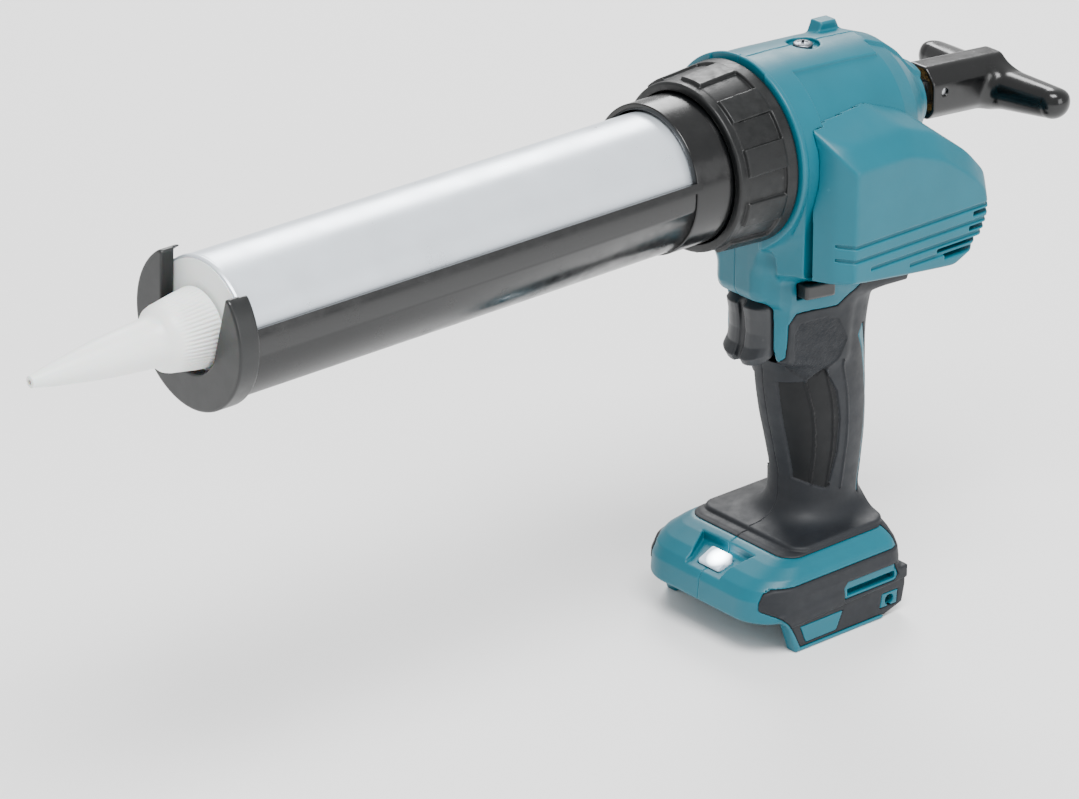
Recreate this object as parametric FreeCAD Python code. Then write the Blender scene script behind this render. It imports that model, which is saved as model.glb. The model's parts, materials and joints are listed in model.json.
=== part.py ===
import math
import os

import FreeCAD
import Part

# Cordless caulking gun, bare tool with a fitted sealant cartridge.
# Frame: nose along -X, the tool's left side on -Y, up on +Z, millimetres.
# Origin: on the barrel axis, at the plane where the retaining ring meets the housing.

V = FreeCAD.Vector
X_AXIS, Y_AXIS, Z_AXIS = V(1, 0, 0), V(0, 1, 0), V(0, 0, 1)

# ---- Driving dimensions ----
TUBE_R = 25.0                 # sealant cartridge outside radius
TUBE_WALL = 0.8
TUBE_FRONT_X = -247.5
TUBE_REAR_X = -32.5
NOZZLE_TIP_X = -320.5

HOLDER_R = 28.5               # cartridge holder outside radius
HOLDER_WALL = 2.7
HOLDER_ROLL = 9.7             # degrees the holder is turned about +X at rest
TROUGH_EDGE = 23.7            # degrees the trough sides rise above their centre plane
SLEEVE_FRONT_X = -43.0
HOLDER_FLANGE_R = 30.7
HOLDER_FLANGE_X = (-20.0, -17.0)

PLATE_R = 29.5
PLATE_FRONT_X = -253.9
PLATE_REAR_X = -248.2
PLATE_LIP_X = -245.2
SLOT_R = 15.4                 # round bottom of the front plate's slot
SLOT_TOP_HALF = 17.9
SLOT_TOP_Z = 22.0

RING_X = (-26.75, -0.35)
RING_R = (32.2, 35.2)
RING_PADS = 20

SOCKET_R = 31.0
SOCKET_BORE = 26.0
SOCKET_FRONT_X = -16.6
WALL = 2.6
GRIP_WALL = 4.6
COVER_T = 2.0                 # soft cover thickness

ROD_HALF_W = 5.0
ROD_TOP_Z = 5.0
RACK_PITCH_Z = -6.0
RACK_MODULE = 1.5
ROD_X = (-236.0, 118.0)
RACK_X = (-188.0, 62.0)
PISTON_R = 22.5
REAR_GUIDE_R = 10.5
FRONT_GUIDE_R = 10.5

PINION_TEETH = 20
PINION_R = RACK_MODULE * PINION_TEETH / 2
GEAR_X = 47.0
GEAR_Z = RACK_PITCH_Z - PINION_R
SHAFT_R = 2.5

PLANET_MODULE = 0.8
SUN_TEETH = 12
PLANET_TEETH = 12
RING_TEETH = 36
PLANET_ORBIT = PLANET_MODULE * (SUN_TEETH + PLANET_TEETH) / 2
PLANETS = 3
RING_GEAR_R = 18.0

MOTOR_R = 17.5
MOTOR_Y = (-44.0, -14.0)
COVER_FACE_Y = -50.0
COVER_SHOULDER_Y = -42.0
COVER_ROOT_Y = -24.0

BASE_HALF = 37.0
BASE_FLOOR_Z = -181.0
WING_Z = -195.0
WING_T = 6.0
HOOK_SCREW = (51.0, -188.0)
HOOK_THREAD_R = 1.65
SCREW_PLACES = [(16, 22, 25), (72, 12, 20), (72, -36, 18), (12, -45, 14), (55, -96, 9.5), (32, -128, 9.5),
                (52, -165, 26), (2, -172, 24)]     # x, z and the y under the head
SCREW_HEAD_R = 3.4
SCREW_SHANK_R = 1.5
SCREW_POST_R = 4.0
SCREW_TIP_Y = -9.0
RUN_FIT = 0.05                # radial clearance of a shaft in its bearing
GAP = 0.35                    # between separate moving bodies


# ---- Helpers ----
def box(x0, x1, y0, y1, z0, z1):
    return Part.makeBox(x1 - x0, y1 - y0, z1 - z0, V(x0, y0, z0))


def rod_x(r, x0, x1, y=0.0, z=0.0):
    return Part.makeCylinder(r, x1 - x0, V(x0, y, z), X_AXIS)


def rod_y(r, y0, y1, x=0.0, z=0.0):
    return Part.makeCylinder(r, y1 - y0, V(x, y0, z), Y_AXIS)


def rod_z(r, z0, z1, x=0.0, y=0.0):
    return Part.makeCylinder(r, z1 - z0, V(x, y, z0), Z_AXIS)


def tube_x(r_out, r_in, x0, x1):
    return rod_x(r_out, x0, x1).cut(rod_x(r_in, x0 - 1, x1 + 1))


def tube_y(r_out, r_in, y0, y1, x=GEAR_X, z=GEAR_Z):
    return rod_y(r_out, y0, y1, x, z).cut(rod_y(r_in, y0 - 1, y1 + 1, x, z))


def fuse(*shapes):
    solid = shapes[0]
    for shape in shapes[1:]:
        solid = solid.fuse(shape)
    return solid.removeSplitter()


def face_of(points):
    return Part.Face(Part.makePolygon(points + [points[0]]))


def side_prism(outline, y0, y1):
    """Outline in X and Z, drawn out along Y."""
    return face_of([V(x, y0, z) for x, z in outline]).extrude(V(0, y1 - y0, 0))


def plan_prism(outline, z0, z1):
    """Outline in X and Y, drawn out along Z."""
    return face_of([V(x, y, z0) for x, y in outline]).extrude(V(0, 0, z1 - z0))


def front_prism(outline, x0, x1):
    """Outline in Y and Z, drawn out along X."""
    return face_of([V(x0, y, z) for y, z in outline]).extrude(V(x1 - x0, 0, 0))


def inset(outline, t):
    """A closed outline moved inward by t, corners kept sharp."""
    if t == 0:
        return outline
    area = sum(a[0] * b[1] - b[0] * a[1] for a, b in zip(outline, outline[1:] + outline[:1]))
    turn = 1.0 if area > 0 else -1.0
    moved = []
    count = len(outline)
    for i in range(count):
        p, q, r = outline[i - 1], outline[i], outline[(i + 1) % count]
        d1, d2 = (q[0] - p[0], q[1] - p[1]), (r[0] - q[0], r[1] - q[1])
        l1, l2 = math.hypot(*d1), math.hypot(*d2)
        n1, n2 = (-turn * d1[1] / l1, turn * d1[0] / l1), (-turn * d2[1] / l2, turn * d2[0] / l2)
        k = t / (1 + n1[0] * n2[0] + n1[1] * n2[1])
        moved.append((q[0] + k * (n1[0] + n2[0]), q[1] + k * (n1[1] + n2[1])))
    return moved


def rounded_wire(x0, x1, half, r_front, r_rear, z):
    """A rectangle in plan with round front and rear corners."""
    def corner(cx, cy, r, a0):
        pts = [V(cx + r * math.cos(math.radians(a)), cy + r * math.sin(math.radians(a)), z)
               for a in (a0, a0 + 45, a0 + 90)]
        return Part.Arc(*pts).toShape(), pts[0], pts[2]
    corners = [corner(x1 - r_rear, half - r_rear, r_rear, 0),
               corner(x0 + r_front, half - r_front, r_front, 90),
               corner(x0 + r_front, r_front - half, r_front, 180),
               corner(x1 - r_rear, r_rear - half, r_rear, 270)]
    edges = []
    for i, (arc, _, end) in enumerate(corners):
        edges += [arc, Part.makeLine(end, corners[(i + 1) % 4][1])]
    return Part.Wire(edges)


def roll(shape, angle=HOLDER_ROLL):
    turned = shape.copy()
    turned.rotate(V(0, 0, 0), X_AXIS, angle)
    return turned


def mirror_y(shape):
    return shape.mirror(V(0, 0, 0), Y_AXIS)


def left_of(shape):
    return shape.common(box(-400, 400, -200, 0, -400, 400))


def right_of(shape):
    return shape.common(box(-400, 400, 0, 200, -400, 400))


def gear_outline(teeth, module, phase=0.0, backlash=0.24, inner=False):
    """Straight-flanked teeth as (x, y) points. An inner gear's teeth point at the centre."""
    pitch_r = module * teeth / 2
    sign = -1 if inner else 1
    tip, root = pitch_r + sign * 0.9 * module, pitch_r - sign * 1.22 * module
    thick = math.pi * module / 2 - backlash
    slope = 2 * math.tan(math.radians(20))
    tip_half = (thick - 0.9 * module * slope) / 2 / tip
    root_half = (thick + 1.0 * module * slope) / 2 / root
    points = []
    for i in range(teeth):
        mid = 2 * math.pi * i / teeth + phase
        for r, a in ((root, -root_half), (tip, -tip_half), (tip, tip_half), (root, root_half)):
            points.append((r * math.cos(mid + a), r * math.sin(mid + a)))
    return points


def gear_y(outline, y0, y1, x=GEAR_X, z=GEAR_Z):
    """A gear outline drawn out along Y round the point (x, z)."""
    return side_prism([(x + a, z - b) for a, b in outline], y0, y1)


# ---- Outer forms, each shrinkable by an inset ----
BARREL_PROFILE = [(0, 0), (0, 36.8), (2.6, 37.2), (4.4, 36.0), (16, 35.5), (42, 33.8), (58, 32.4), (67, 29),
                  (74, 24), (80, 18), (84, 15), (87, 14), (87, 0)]
SIDE_OUTLINE = [(0, -56.5), (0, 37.5), (16, 36.8), (42, 34), (58, 32.8), (70, 28.5), (77, 22), (84, 14),
                (87, 8), (87, -24), (82, -44), (72, -62), (10, -60)]
BELLY_OUTLINE = [(-30, -12), (-25.5, -36), (-21, -50), (-20, -66), (20, -66), (21, -50), (25.5, -36),
                 (30, -12)]
BELLY_PLAN = [(0, -8), (4, -15), (13, -22), (24, -30), (60, -31), (87, -19), (87, 19), (60, 31), (24, 30),
              (13, 22), (4, 15), (0, 8)]
GUARD_OUTLINE = [(8.5, -58), (9.5, -80), (13, -88), (24, -91), (42, -88), (42, -58)]
GUARD_PLAN = [(8, -10), (12, -14.5), (42, -16), (42, 16), (12, 14.5), (8, 10)]
GRIP_SECTIONS = [(-48, 44.0, 28.0, 20.0), (-66, 41.0, 25.0, 18.0), (-80, 39.6, 23.8, 17.0),
                 (-97, 40.0, 23.4, 16.5), (-112, 41.7, 22.6, 16.3), (-128, 43.6, 20.5, 15.5),
                 (-140, 44.2, 18.6, 15.0), (-151, 43.5, 18.2, 15.0), (-163, 42.5, 21.5, 18.0)]


def revolve_x(profile):
    """A closed profile of (x, r) points turned round the barrel axis."""
    face = face_of([V(x, 0, r) for x, r in profile])
    return face.revolve(V(0, 0, 0), X_AXIS, 360)


def upper_form(t=0.0):
    barrel = revolve_x([(min(max(x, t), 87 - t), max(r - t, 0)) for x, r in BARREL_PROFILE])
    belly = front_prism(inset(BELLY_OUTLINE, t), -5, 95).common(plan_prism(inset(BELLY_PLAN, t), -80, 60))
    guard = side_prism(inset(GUARD_OUTLINE, t), -40, 40).common(plan_prism(inset(GUARD_PLAN, t), -100, -50))
    return barrel.fuse(belly).common(side_prism(inset(SIDE_OUTLINE, t), -60, 60)).fuse(guard)


def gear_bulge(t=0.0):
    """Round swelling on the right side over the gear stage."""
    return rod_y(21.5 - t, 0, 31.5 - t, GEAR_X, GEAR_Z)


def grip_form(t=0.0):
    wires = []
    for z, xc, a, b in GRIP_SECTIONS:
        ellipse = Part.Ellipse(V(xc, 0, z), a - t, b - t)
        wires.append(Part.Wire(ellipse.toShape()))
    return Part.makeLoft(wires, True, False)


# height, front x, rear x, half width, front corner radius
BASE_SECTIONS = [(-181.0, -15.4, 60.0, 37.0, 16.5), (-172.0, -14.8, 60.0, 36.8, 16.5),
                 (-166.5, -10.5, 59.5, 35.6, 15.0), (-163.0, -4.0, 58.8, 33.0, 12.0),
                 (-160.2, 5.0, 58.0, 29.0, 8.0)]
SKIRT_SECTION = (-158.2, 10.6, 58.0, 27.8, 5.5)


def base_form(t=0.0):
    wires = [rounded_wire(x0 + t, x1 - t, half - t, r - t, 9 - t, z) for z, x0, x1, half, r in BASE_SECTIONS]
    form = Part.makeLoft(wires, True, True)
    if t > 0:
        form.translate(V(0, 0, -t))
        return form.common(box(-100, 100, -60, 60, BASE_FLOOR_Z, -100))
    return form


def skirt():
    z, x0, x1, half, r = SKIRT_SECTION
    plate = Part.Face(rounded_wire(x0, x1, half, r, 8, z - 2.3))
    return plate.extrude(V(0, 0, 2.3))


def wing(t=0.0):
    outline = [(-6, -178), (2, WING_Z), (50, WING_Z), (58.5, -191), (60, -184), (60, -178)]
    return side_prism(inset(outline, t), -BASE_HALF + t, -BASE_HALF + WING_T)


def outer_form():
    return fuse(upper_form(), gear_bulge(), grip_form(), base_form(), skirt(), wing(), mirror_y(wing()))


def cover_zone():
    """Side view of the soft cover: grip, skirt over the base, rear band and side panels."""
    grip = [(5, -91), (13, -88.6), (24, -88), (30, -80), (31, -70), (38, -66.5), (46, -62.5), (60, -64),
            (90, -70), (90, -160.3), (5, -160.3)]
    rear = [(54, -158), (70, -158), (70, -192), (58, -192), (56.5, -178), (56, -163)]
    panel = [(-14, -173), (-6, -167.5), (62, -167.5), (62, -191.5), (46, -193.6), (2.5, -193.6), (-5, -180)]
    zone = side_prism(grip, -60, 60)
    zone = zone.fuse(side_prism(rear, -60, 60))
    sides = side_prism(panel, -60, -25)
    return zone.fuse(sides).fuse(mirror_y(sides))


def cover_core():
    return fuse(upper_form(), gear_bulge(), grip_form(COVER_T), base_form(COVER_T), wing(COVER_T),
                mirror_y(wing(COVER_T)))


def grip_covers(outer):
    layer = outer.common(cover_zone()).cut(cover_core())
    layer = layer.cut(box(28, 54.5, -60, 60, -181, -175))
    layer = layer.cut(box(47.5, 54.5, -60, 60, -191.2, -184.6))
    for x, z, head_y in SCREW_PLACES:
        layer = layer.cut(rod_y(SCREW_HEAD_R + 0.3, head_y, 60, x, z))
    return layer


# ---- Housing ----
def housing(outer, covers):
    shell = outer.cut(covers)
    cavity = upper_form(WALL).fuse(gear_bulge(WALL)).fuse(grip_form(GRIP_WALL))
    shell = shell.cut(cavity)
    shell = shell.cut(base_form(4.2).common(box(-20, 70, -40, 40, -178.5, -150)))
    shell = shell.cut(box(-30, 55.5, -31, 31, -200, BASE_FLOOR_Z))
    rail = side_prism([(8, -187), (10, -190.5), (55, -190.5), (55, -187)], -31.5, -27.5)
    shell = shell.fuse(rail).fuse(mirror_y(rail))
    shell = shell.fuse(cradle()).fuse(top_lug())
    for opening in housing_openings():
        shell = shell.cut(opening)
    core = fuse(upper_form(1.0), gear_bulge(1.0), grip_form(COVER_T), base_form(COVER_T))
    for place in SCREW_PLACES:
        shell = shell.cut(screw_hole(*place)).fuse(screw_boss(*place).common(core))
    return shell


def housing_openings():
    slot = box(28, 54.5, -38, -32.6, -181, -175)
    return [rod_x(SOCKET_R, -10, WALL + 0.2),
            rod_x(REAR_GUIDE_R, 70, 100),
            rod_y(MOTOR_R + 1.5, -60, -5, GEAR_X, GEAR_Z),
            box(-5, 30, -12.2, 12.2, -87.4, -60.4),
            box(16.6, 32.4, -40, 40, -59.6, -52.6),
            box(64, 82, -3.6, 3.6, -65, -44), rod_y(9.0, -3.6, 3.6, 68.5, -54.5),
            box(36, 50, -8, 8, -167, -160), box(-9.2, -4, -4.3, 4.3, -172, -167),
            slot, mirror_y(slot),
            rod_y(3.3, -38, -30.5, *HOOK_SCREW), rod_y(3.3, 30.5, 38, *HOOK_SCREW),
            box(-17, -4, -4.2, 4.2, -167.5, -160),
            box(8, 40, -24, 24, -186, -176),
            rod_z(4.2, 33.0, 50, 33), rod_z(2.1, 24, 50, 33)]


def cradle():
    """Ribs of both halves that hold the gear case, the rod guide and the top screw's boss."""
    ribs = []
    for x in (33.0, 59.0):
        rib = box(x, x + 2, -30, 30, -60, -39.2)
        ribs.append(rib.common(upper_form(1.0)))
    boss = rod_z(4.6, 12, 34, 33).cut(rod_z(1.6, 11, 35, 33)).cut(rod_z(4.2, 33, 40, 33))
    collar = tube_x(13.0, REAR_GUIDE_R, 78, 84)
    web = box(78, 80, -34, 34, -40, 40).cut(rod_x(12.5, 70, 90)).common(upper_form(1.0))
    return fuse(collar, web).fuse(boss).fuse(ribs[0]).fuse(ribs[1])


def top_lug():
    lug = side_prism([(44, 26), (48.5, 36.4), (56, 36.0), (61, 26)], 6.5, 12.5)
    return lug


# ---- Motor cover ----
COVER_ROOT = [(10.5, -44), (10.5, 16), (15, 18.5), (39, 18), (56, 10.5), (72, -2), (83, -14), (88, -27),
              (86, -41), (77, -50.5), (60, -54), (30, -50)]
COVER_SHOULDER = [(10.7, -43), (10.7, 8), (15, 9.3), (47, 9.2), (61, 4.8), (74, -4.5), (84, -15),
                  (88.5, -27), (86, -40), (77, -50), (60, -52.5), (30, -48.5)]
COVER_FACE = [(12, -36), (12, 0), (15, 2.2), (44, 1.6), (58, -3.5), (70, -11.5), (79, -19), (82.5, -27),
              (80.5, -37), (73, -44.5), (58, -46.8), (30, -41.5)]
COVER_VENTS = [(74, 90, -30.2), (72, 90, -35.4), (55.5, 79, -40.5), (60, 76, -43.9)]     # x range and height
VENT_HALF = 0.9


def cover_loft(t=0.0):
    levels = [(COVER_ROOT, COVER_ROOT_Y + (1 if t else 0)), (COVER_SHOULDER, COVER_SHOULDER_Y + t / 2),
              (COVER_FACE, COVER_FACE_Y + t)]
    wires = []
    for outline, y in levels:
        points = inset(outline, t)
        wires.append(Part.makePolygon([V(x, y, z) for x, z in points + points[:1]]))
    return Part.makeLoft(wires, True, True)


def motor_cover(outer):
    shell = cover_loft().cut(cover_loft(WALL))
    shell = shell.cut(outer)
    for x0, x1, z in COVER_VENTS:
        shell = shell.cut(box(x0, x1, -60, -35, z - VENT_HALF, z + VENT_HALF))
    return max(shell.Solids, key=lambda s: s.Volume)


# ---- Barrel and cartridge holder ----
def front_socket():
    threaded = tube_x(SOCKET_R, SOCKET_BORE, SOCKET_FRONT_X, WALL + 0.2)
    flange = tube_x(32.4, FRONT_GUIDE_R, WALL + 0.2, WALL + 3.2)
    return fuse(threaded, flange)


def rod_hole(x0, x1, clearance):
    return box(x0, x1, -ROD_HALF_W - clearance, ROD_HALF_W + clearance,
               RACK_PITCH_Z - 1.35 - clearance, ROD_TOP_Z + clearance)


def rod_guide(x0, x1, r):
    return rod_x(r, x0, x1).cut(rod_hole(x0 - 1, x1 + 1, 0.15))


def retaining_ring():
    (x0, x1), (r0, r1) = RING_X, RING_R
    cone = Part.makeCone(r0, r1, x1 - x0, V(x0, 0, 0), X_AXIS)
    front_r = HOLDER_R + 0.5
    ring = cone.cut(rod_x(SOCKET_R + GAP, HOLDER_FLANGE_X[0] - GAP, x1 + 1)).cut(rod_x(front_r, x0 - 1, x1))
    step_x = (x0 + 3.6, x1 - 4.8)
    low = Part.makeCone(r0 - 0.9, r1 - 0.9, x1 - x0, V(x0, 0, 0), X_AXIS)
    outside = rod_x(r1 + 5, step_x[0] - 10, step_x[1]).cut(low)
    front_groove = outside.common(rod_x(r1 + 5, x0 + 1.6, step_x[0]))
    ring = ring.cut(front_groove)
    wedge_reach = 60.0
    half = math.radians(360.0 / RING_PADS / 2 - 0.6)
    for i in range(0, RING_PADS, 2):
        mid = math.radians(99.0 + 360.0 / RING_PADS * i)
        wedge = front_prism([(0, 0), (wedge_reach * math.cos(mid - half), wedge_reach * math.sin(mid - half)),
                             (wedge_reach * math.cos(mid + half), wedge_reach * math.sin(mid + half))],
                            step_x[0], step_x[1])
        ring = ring.cut(outside.common(wedge))
    return ring


def holder_trough():
    sleeve = tube_x(HOLDER_R - 0.05, HOLDER_R - HOLDER_WALL, PLATE_REAR_X, HOLDER_FLANGE_X[0])
    edge = math.radians(TROUGH_EDGE)
    reach = 60.0
    high = [(reach * math.cos(edge), reach * math.sin(edge)), (0, 0),
            (-reach * math.cos(edge), reach * math.sin(edge)), (-reach, reach + 1), (reach, reach + 1)]
    trough = sleeve.cut(front_prism(high, PLATE_REAR_X - 1, SLEEVE_FRONT_X))
    flange = tube_x(HOLDER_FLANGE_R, HOLDER_R - HOLDER_WALL, *HOLDER_FLANGE_X)
    seat = tube_x(HOLDER_R - 0.05, HOLDER_R - HOLDER_WALL, HOLDER_FLANGE_X[0] - 1, HOLDER_FLANGE_X[0])
    return roll(fuse(trough, seat, flange))


def slot_prism(x0, x1):
    arc_z = -0.5
    sides = front_prism([(-SLOT_R, arc_z), (-SLOT_TOP_HALF, SLOT_TOP_Z), (-SLOT_TOP_HALF - 2, 40),
                         (SLOT_TOP_HALF + 2, 40), (SLOT_TOP_HALF, SLOT_TOP_Z), (SLOT_R, arc_z)], x0, x1)
    return sides.fuse(rod_x(SLOT_R, x0, x1, 0, arc_z))


def holder_front_plate():
    plate = rod_x(PLATE_R, PLATE_FRONT_X, PLATE_LIP_X)
    plate = plate.cut(rod_x(HOLDER_R, PLATE_REAR_X, PLATE_LIP_X + 1))
    plate = plate.cut(slot_prism(PLATE_FRONT_X - 1, PLATE_LIP_X + 1))
    plate = plate.cut(box(-260, -240, -40, 40, SLOT_TOP_Z, 40))
    return roll(max(plate.Solids, key=lambda s: s.Volume))


def cartridge_tube():
    return tube_x(TUBE_R, TUBE_R - TUBE_WALL, TUBE_FRONT_X, TUBE_REAR_X)


def cartridge_head():
    cap = rod_x(TUBE_R - TUBE_WALL - 0.02, TUBE_FRONT_X - 0.4, TUBE_FRONT_X + 2.2)
    neck = rod_x(9.0, -262, TUBE_FRONT_X)
    return fuse(cap, neck).cut(rod_x(5.0, -263, -240))


def cartridge_plunger():
    disc = rod_x(TUBE_R - TUBE_WALL - 0.1, -244.8, -239.8)
    cup = tube_x(TUBE_R - TUBE_WALL - 0.1, 23.0, -239.8, -233.0)
    return fuse(disc, cup)


def nozzle():
    outside = [(NOZZLE_TIP_X, 1.8), (-310.5, 4.1), (-292, 7.0), (-272, 8.7), (-269, 9.4), (-266.2, 11.8),
               (-262, 12.5), (-249.0, 14.6)]
    inside = [(-249.0, 11.0), (-252, 11.0), (-252.2, 9.2), (-262.4, 9.2), (-264, 6.5), (-292, 4.6),
              (NOZZLE_TIP_X, 1.0)]
    return revolve_x(outside + inside)


# ---- Rod and handle ----
def push_rod():
    pitch = math.pi * RACK_MODULE
    root_z = RACK_PITCH_Z + 1.22 * RACK_MODULE
    tip_z = RACK_PITCH_Z - 0.9 * RACK_MODULE
    thick = pitch / 2 - 0.24
    slope = 2 * math.tan(math.radians(20))
    tip_half, root_half = (thick - 0.9 * RACK_MODULE * slope) / 2, (thick + RACK_MODULE * slope) / 2
    outline = [(ROD_X[0], ROD_TOP_Z), (ROD_X[0], root_z)]
    first = math.ceil((RACK_X[0] - GEAR_X) / pitch - 0.5)
    last = math.floor((RACK_X[1] - GEAR_X) / pitch - 0.5)
    for k in range(first, last + 1):
        mid = GEAR_X + (k + 0.5) * pitch
        outline += [(mid - root_half, root_z), (mid - tip_half, tip_z), (mid + tip_half, tip_z),
                    (mid + root_half, root_z)]
    outline += [(ROD_X[1], root_z), (ROD_X[1], ROD_TOP_Z)]
    return side_prism(outline, -ROD_HALF_W, ROD_HALF_W).cut(rod_y(1.5, -10, 10, 99.2, 0.5))


def piston():
    front = ROD_X[0] - 3.4
    disc = rod_x(PISTON_R, front, front + 2.2)
    rim = tube_x(PISTON_R, PISTON_R - 1.5, front + 2.2, front + 6.5)
    hub = rod_x(9.5, front + 2.2, ROD_X[0] + 9).cut(rod_hole(ROD_X[0], ROD_X[0] + 12, 0.02))
    return fuse(disc, rim, hub).cut(rod_x(2.6, front - 1, ROD_X[0] + 1))


def piston_screw():
    front = ROD_X[0] - 3.4
    return rod_x(2.5, front, ROD_X[0])


HANDLE_Z = -5.4
HANDLE_END = (134.0, 31.6, 6.75)      # x, y and radius of the bar's round ends


def pull_handle():
    front = [(-9.2, -7), (-6, -10.5), (6, -10.5), (9.2, -7), (9.2, 5), (4.6, 10.5), (-4.6, 10.5), (-9.2, 5)]
    rear = [(-9.0, -11), (-6, -14), (6, -14), (9.0, -11), (9.0, -1.5), (5, 3), (-5, 3), (-9.0, -1.5)]
    shank = Part.makeLoft([Part.makePolygon([V(x, y, z) for y, z in pts + pts[:1]])
                           for x, pts in ((93, front), (133, rear))], True, True)
    xe, ye, re = HANDLE_END
    rings = []
    for y, x, r in ((-ye, xe, re), (-12, 131.5, 8.6), (0, 131.0, 9.2), (12, 131.5, 8.6), (ye, xe, re)):
        rings.append(Part.Wire(Part.Circle(V(x, y, HANDLE_Z), Y_AXIS, r).toShape()))
    bar = Part.makeLoft(rings, True, False)
    ends = [Part.makeSphere(re - 0.02, V(xe, side * ye, HANDLE_Z)) for side in (-1, 1)]
    solid = shank.fuse(bar).fuse(ends[0]).fuse(ends[1])
    return solid.cut(rod_hole(92, ROD_X[1], 0.02)).cut(rod_y(1.5, -12, 12, 99.2, 0.5))


def handle_pin():
    return rod_y(1.49, -8.2, 8.2, 99.2, 0.5)


# ---- Drive ----
def gear_case():
    case = box(27, 67, -11, 8.2, -39, -1.5).fuse(box(27, 67, -9, 8.2, -2, 8.5))
    case = case.cut(rod_y(17.7, -7, 7.0, GEAR_X, GEAR_Z))
    case = case.cut(box(20, 70, -5.6, 5.6, -8.2, 5.6))
    case = case.cut(rod_y(11.0, -12, -6, GEAR_X, GEAR_Z)).cut(rod_y(9.5, 5, 9, GEAR_X, GEAR_Z))
    return case


def output_pinion():
    teeth = gear_y(gear_outline(PINION_TEETH, RACK_MODULE, math.pi / 2), -6, 6)
    hub = rod_y(7.0, -10.8, 7.6, GEAR_X, GEAR_Z)
    return fuse(teeth, hub).cut(rod_y(3.3, -12, 9, GEAR_X, GEAR_Z))


def ring_gear():
    body = rod_y(RING_GEAR_R, 8.2, 21, GEAR_X, GEAR_Z)
    return body.cut(gear_y(gear_outline(RING_TEETH, PLANET_MODULE, 0.0, 0.24, True), 7, 22))


def planet_carrier():
    plate = rod_y(13.2, 8.6, 11.2, GEAR_X, GEAR_Z)
    pins = [rod_y(2.0, 11.0, 20.3, x, z) for x, z in planet_centres()]
    return fuse(plate, *pins).cut(rod_y(3.3, 0, 12, GEAR_X, GEAR_Z))


def planet_centres():
    angles = [2 * math.pi * i / PLANETS for i in range(PLANETS)]
    return [(GEAR_X + PLANET_ORBIT * math.cos(a), GEAR_Z - PLANET_ORBIT * math.sin(a)) for a in angles]


def planet_gear(x, z):
    outline = gear_outline(PLANET_TEETH, PLANET_MODULE, math.pi / PLANET_TEETH)
    return gear_y(outline, 12.2, 19.8, x, z).cut(rod_y(2.0 + RUN_FIT, 12, 20, x, z))


def sun_gear():
    blank = gear_y(gear_outline(SUN_TEETH, PLANET_MODULE), 12.2, 20.2)
    return blank.cut(rod_y(SHAFT_R, 12, 21, GEAR_X, GEAR_Z))


def motor_shaft():
    return rod_y(SHAFT_R, -46.4, 23.4, GEAR_X, GEAR_Z)


def armature():
    core = tube_y(12.2, SHAFT_R, -37, -21)
    for i in range(5):
        a = 2 * math.pi * i / 5
        core = core.cut(rod_y(2.2, -38, -20, GEAR_X + 9.2 * math.cos(a), GEAR_Z + 9.2 * math.sin(a)))
    return core


def commutator():
    return tube_y(6.0, SHAFT_R, -42.5, -37.6)


def cooling_fan():
    hub = tube_y(5.0, SHAFT_R, -13.5, -11.4)
    for i in range(9):
        blade = box(GEAR_X + 4, GEAR_X + 15, -13.4, -11.5, GEAR_Z - 0.6, GEAR_Z + 0.6)
        blade.rotate(V(GEAR_X, 0, GEAR_Z), Y_AXIS, 40.0 * i)
        hub = hub.fuse(blade)
    return hub.removeSplitter()


def motor_can():
    wall = tube_y(MOTOR_R, MOTOR_R - 1.5, MOTOR_Y[0], MOTOR_Y[1])
    end = tube_y(MOTOR_R, 4.0, MOTOR_Y[1] - 1.6, MOTOR_Y[1])
    return fuse(wall, end)


def motor_magnets():
    ring = tube_y(15.9, 13.0, -38, -19)
    gap = box(GEAR_X - 3, GEAR_X + 3, -50, 0, GEAR_Z - 30, GEAR_Z + 30)
    return ring.cut(gap)


def brush_cap():
    disc = tube_y(MOTOR_R, 6.0, MOTOR_Y[0] - 2.2, MOTOR_Y[0])
    return fuse(disc, box(GEAR_X - 13, GEAR_X - 8, -44.2, -38, GEAR_Z - 2.5, GEAR_Z + 2.5),
                box(GEAR_X + 8, GEAR_X + 13, -44.2, -38, GEAR_Z - 2.5, GEAR_Z + 2.5))


def carbon_brushes():
    return Part.makeCompound([box(GEAR_X - 7.9, GEAR_X - 6.3, -42, -38.2, GEAR_Z - 1.8, GEAR_Z + 1.8),
                              box(GEAR_X + 6.3, GEAR_X + 7.9, -42, -38.2, GEAR_Z - 1.8, GEAR_Z + 1.8)])


def shaft_bearings():
    return Part.makeCompound([tube_y(6.0, SHAFT_R + RUN_FIT, -46.2, -44),
                              tube_y(4.0, SHAFT_R + RUN_FIT, -15.6, -14),
                              tube_y(5.0, SHAFT_R + RUN_FIT, 21, 24)])


def pinion_bearing():
    return tube_y(11.0, 7.0 + RUN_FIT, -11, -7)


def gear_case_cover():
    return tube_y(RING_GEAR_R, 5.0, 21, 24)


# ---- Controls and electrics ----
def trigger():
    top, bottom = -60.9, -86.9
    front = [(7.2, top), (3.6, top - 1.5), (4.6, -68), (5.2, -74), (4.2, -80), (1.8, bottom + 3),
             (4.2, bottom), (21, bottom), (21, top)]
    body = side_prism(front, -11.6, 11.6)
    groove_outline = [(0, -59), (0, -89), (6.6, -89), (8.2, -80), (8.8, -74), (8.6, -66), (8, -59)]
    groove = side_prism(groove_outline, -1.1, 1.1)
    corner_cut = [(0, 11.9), (0, 7.5), (2.4, 7.5), (8.5, 11.9)]
    corner = plan_prism(corner_cut, -90, -60)
    stem = box(20.5, 29.5, -4.5, 4.5, -80, -68)
    return fuse(body.cut(groove).cut(corner).cut(mirror_y(corner)), stem)


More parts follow.
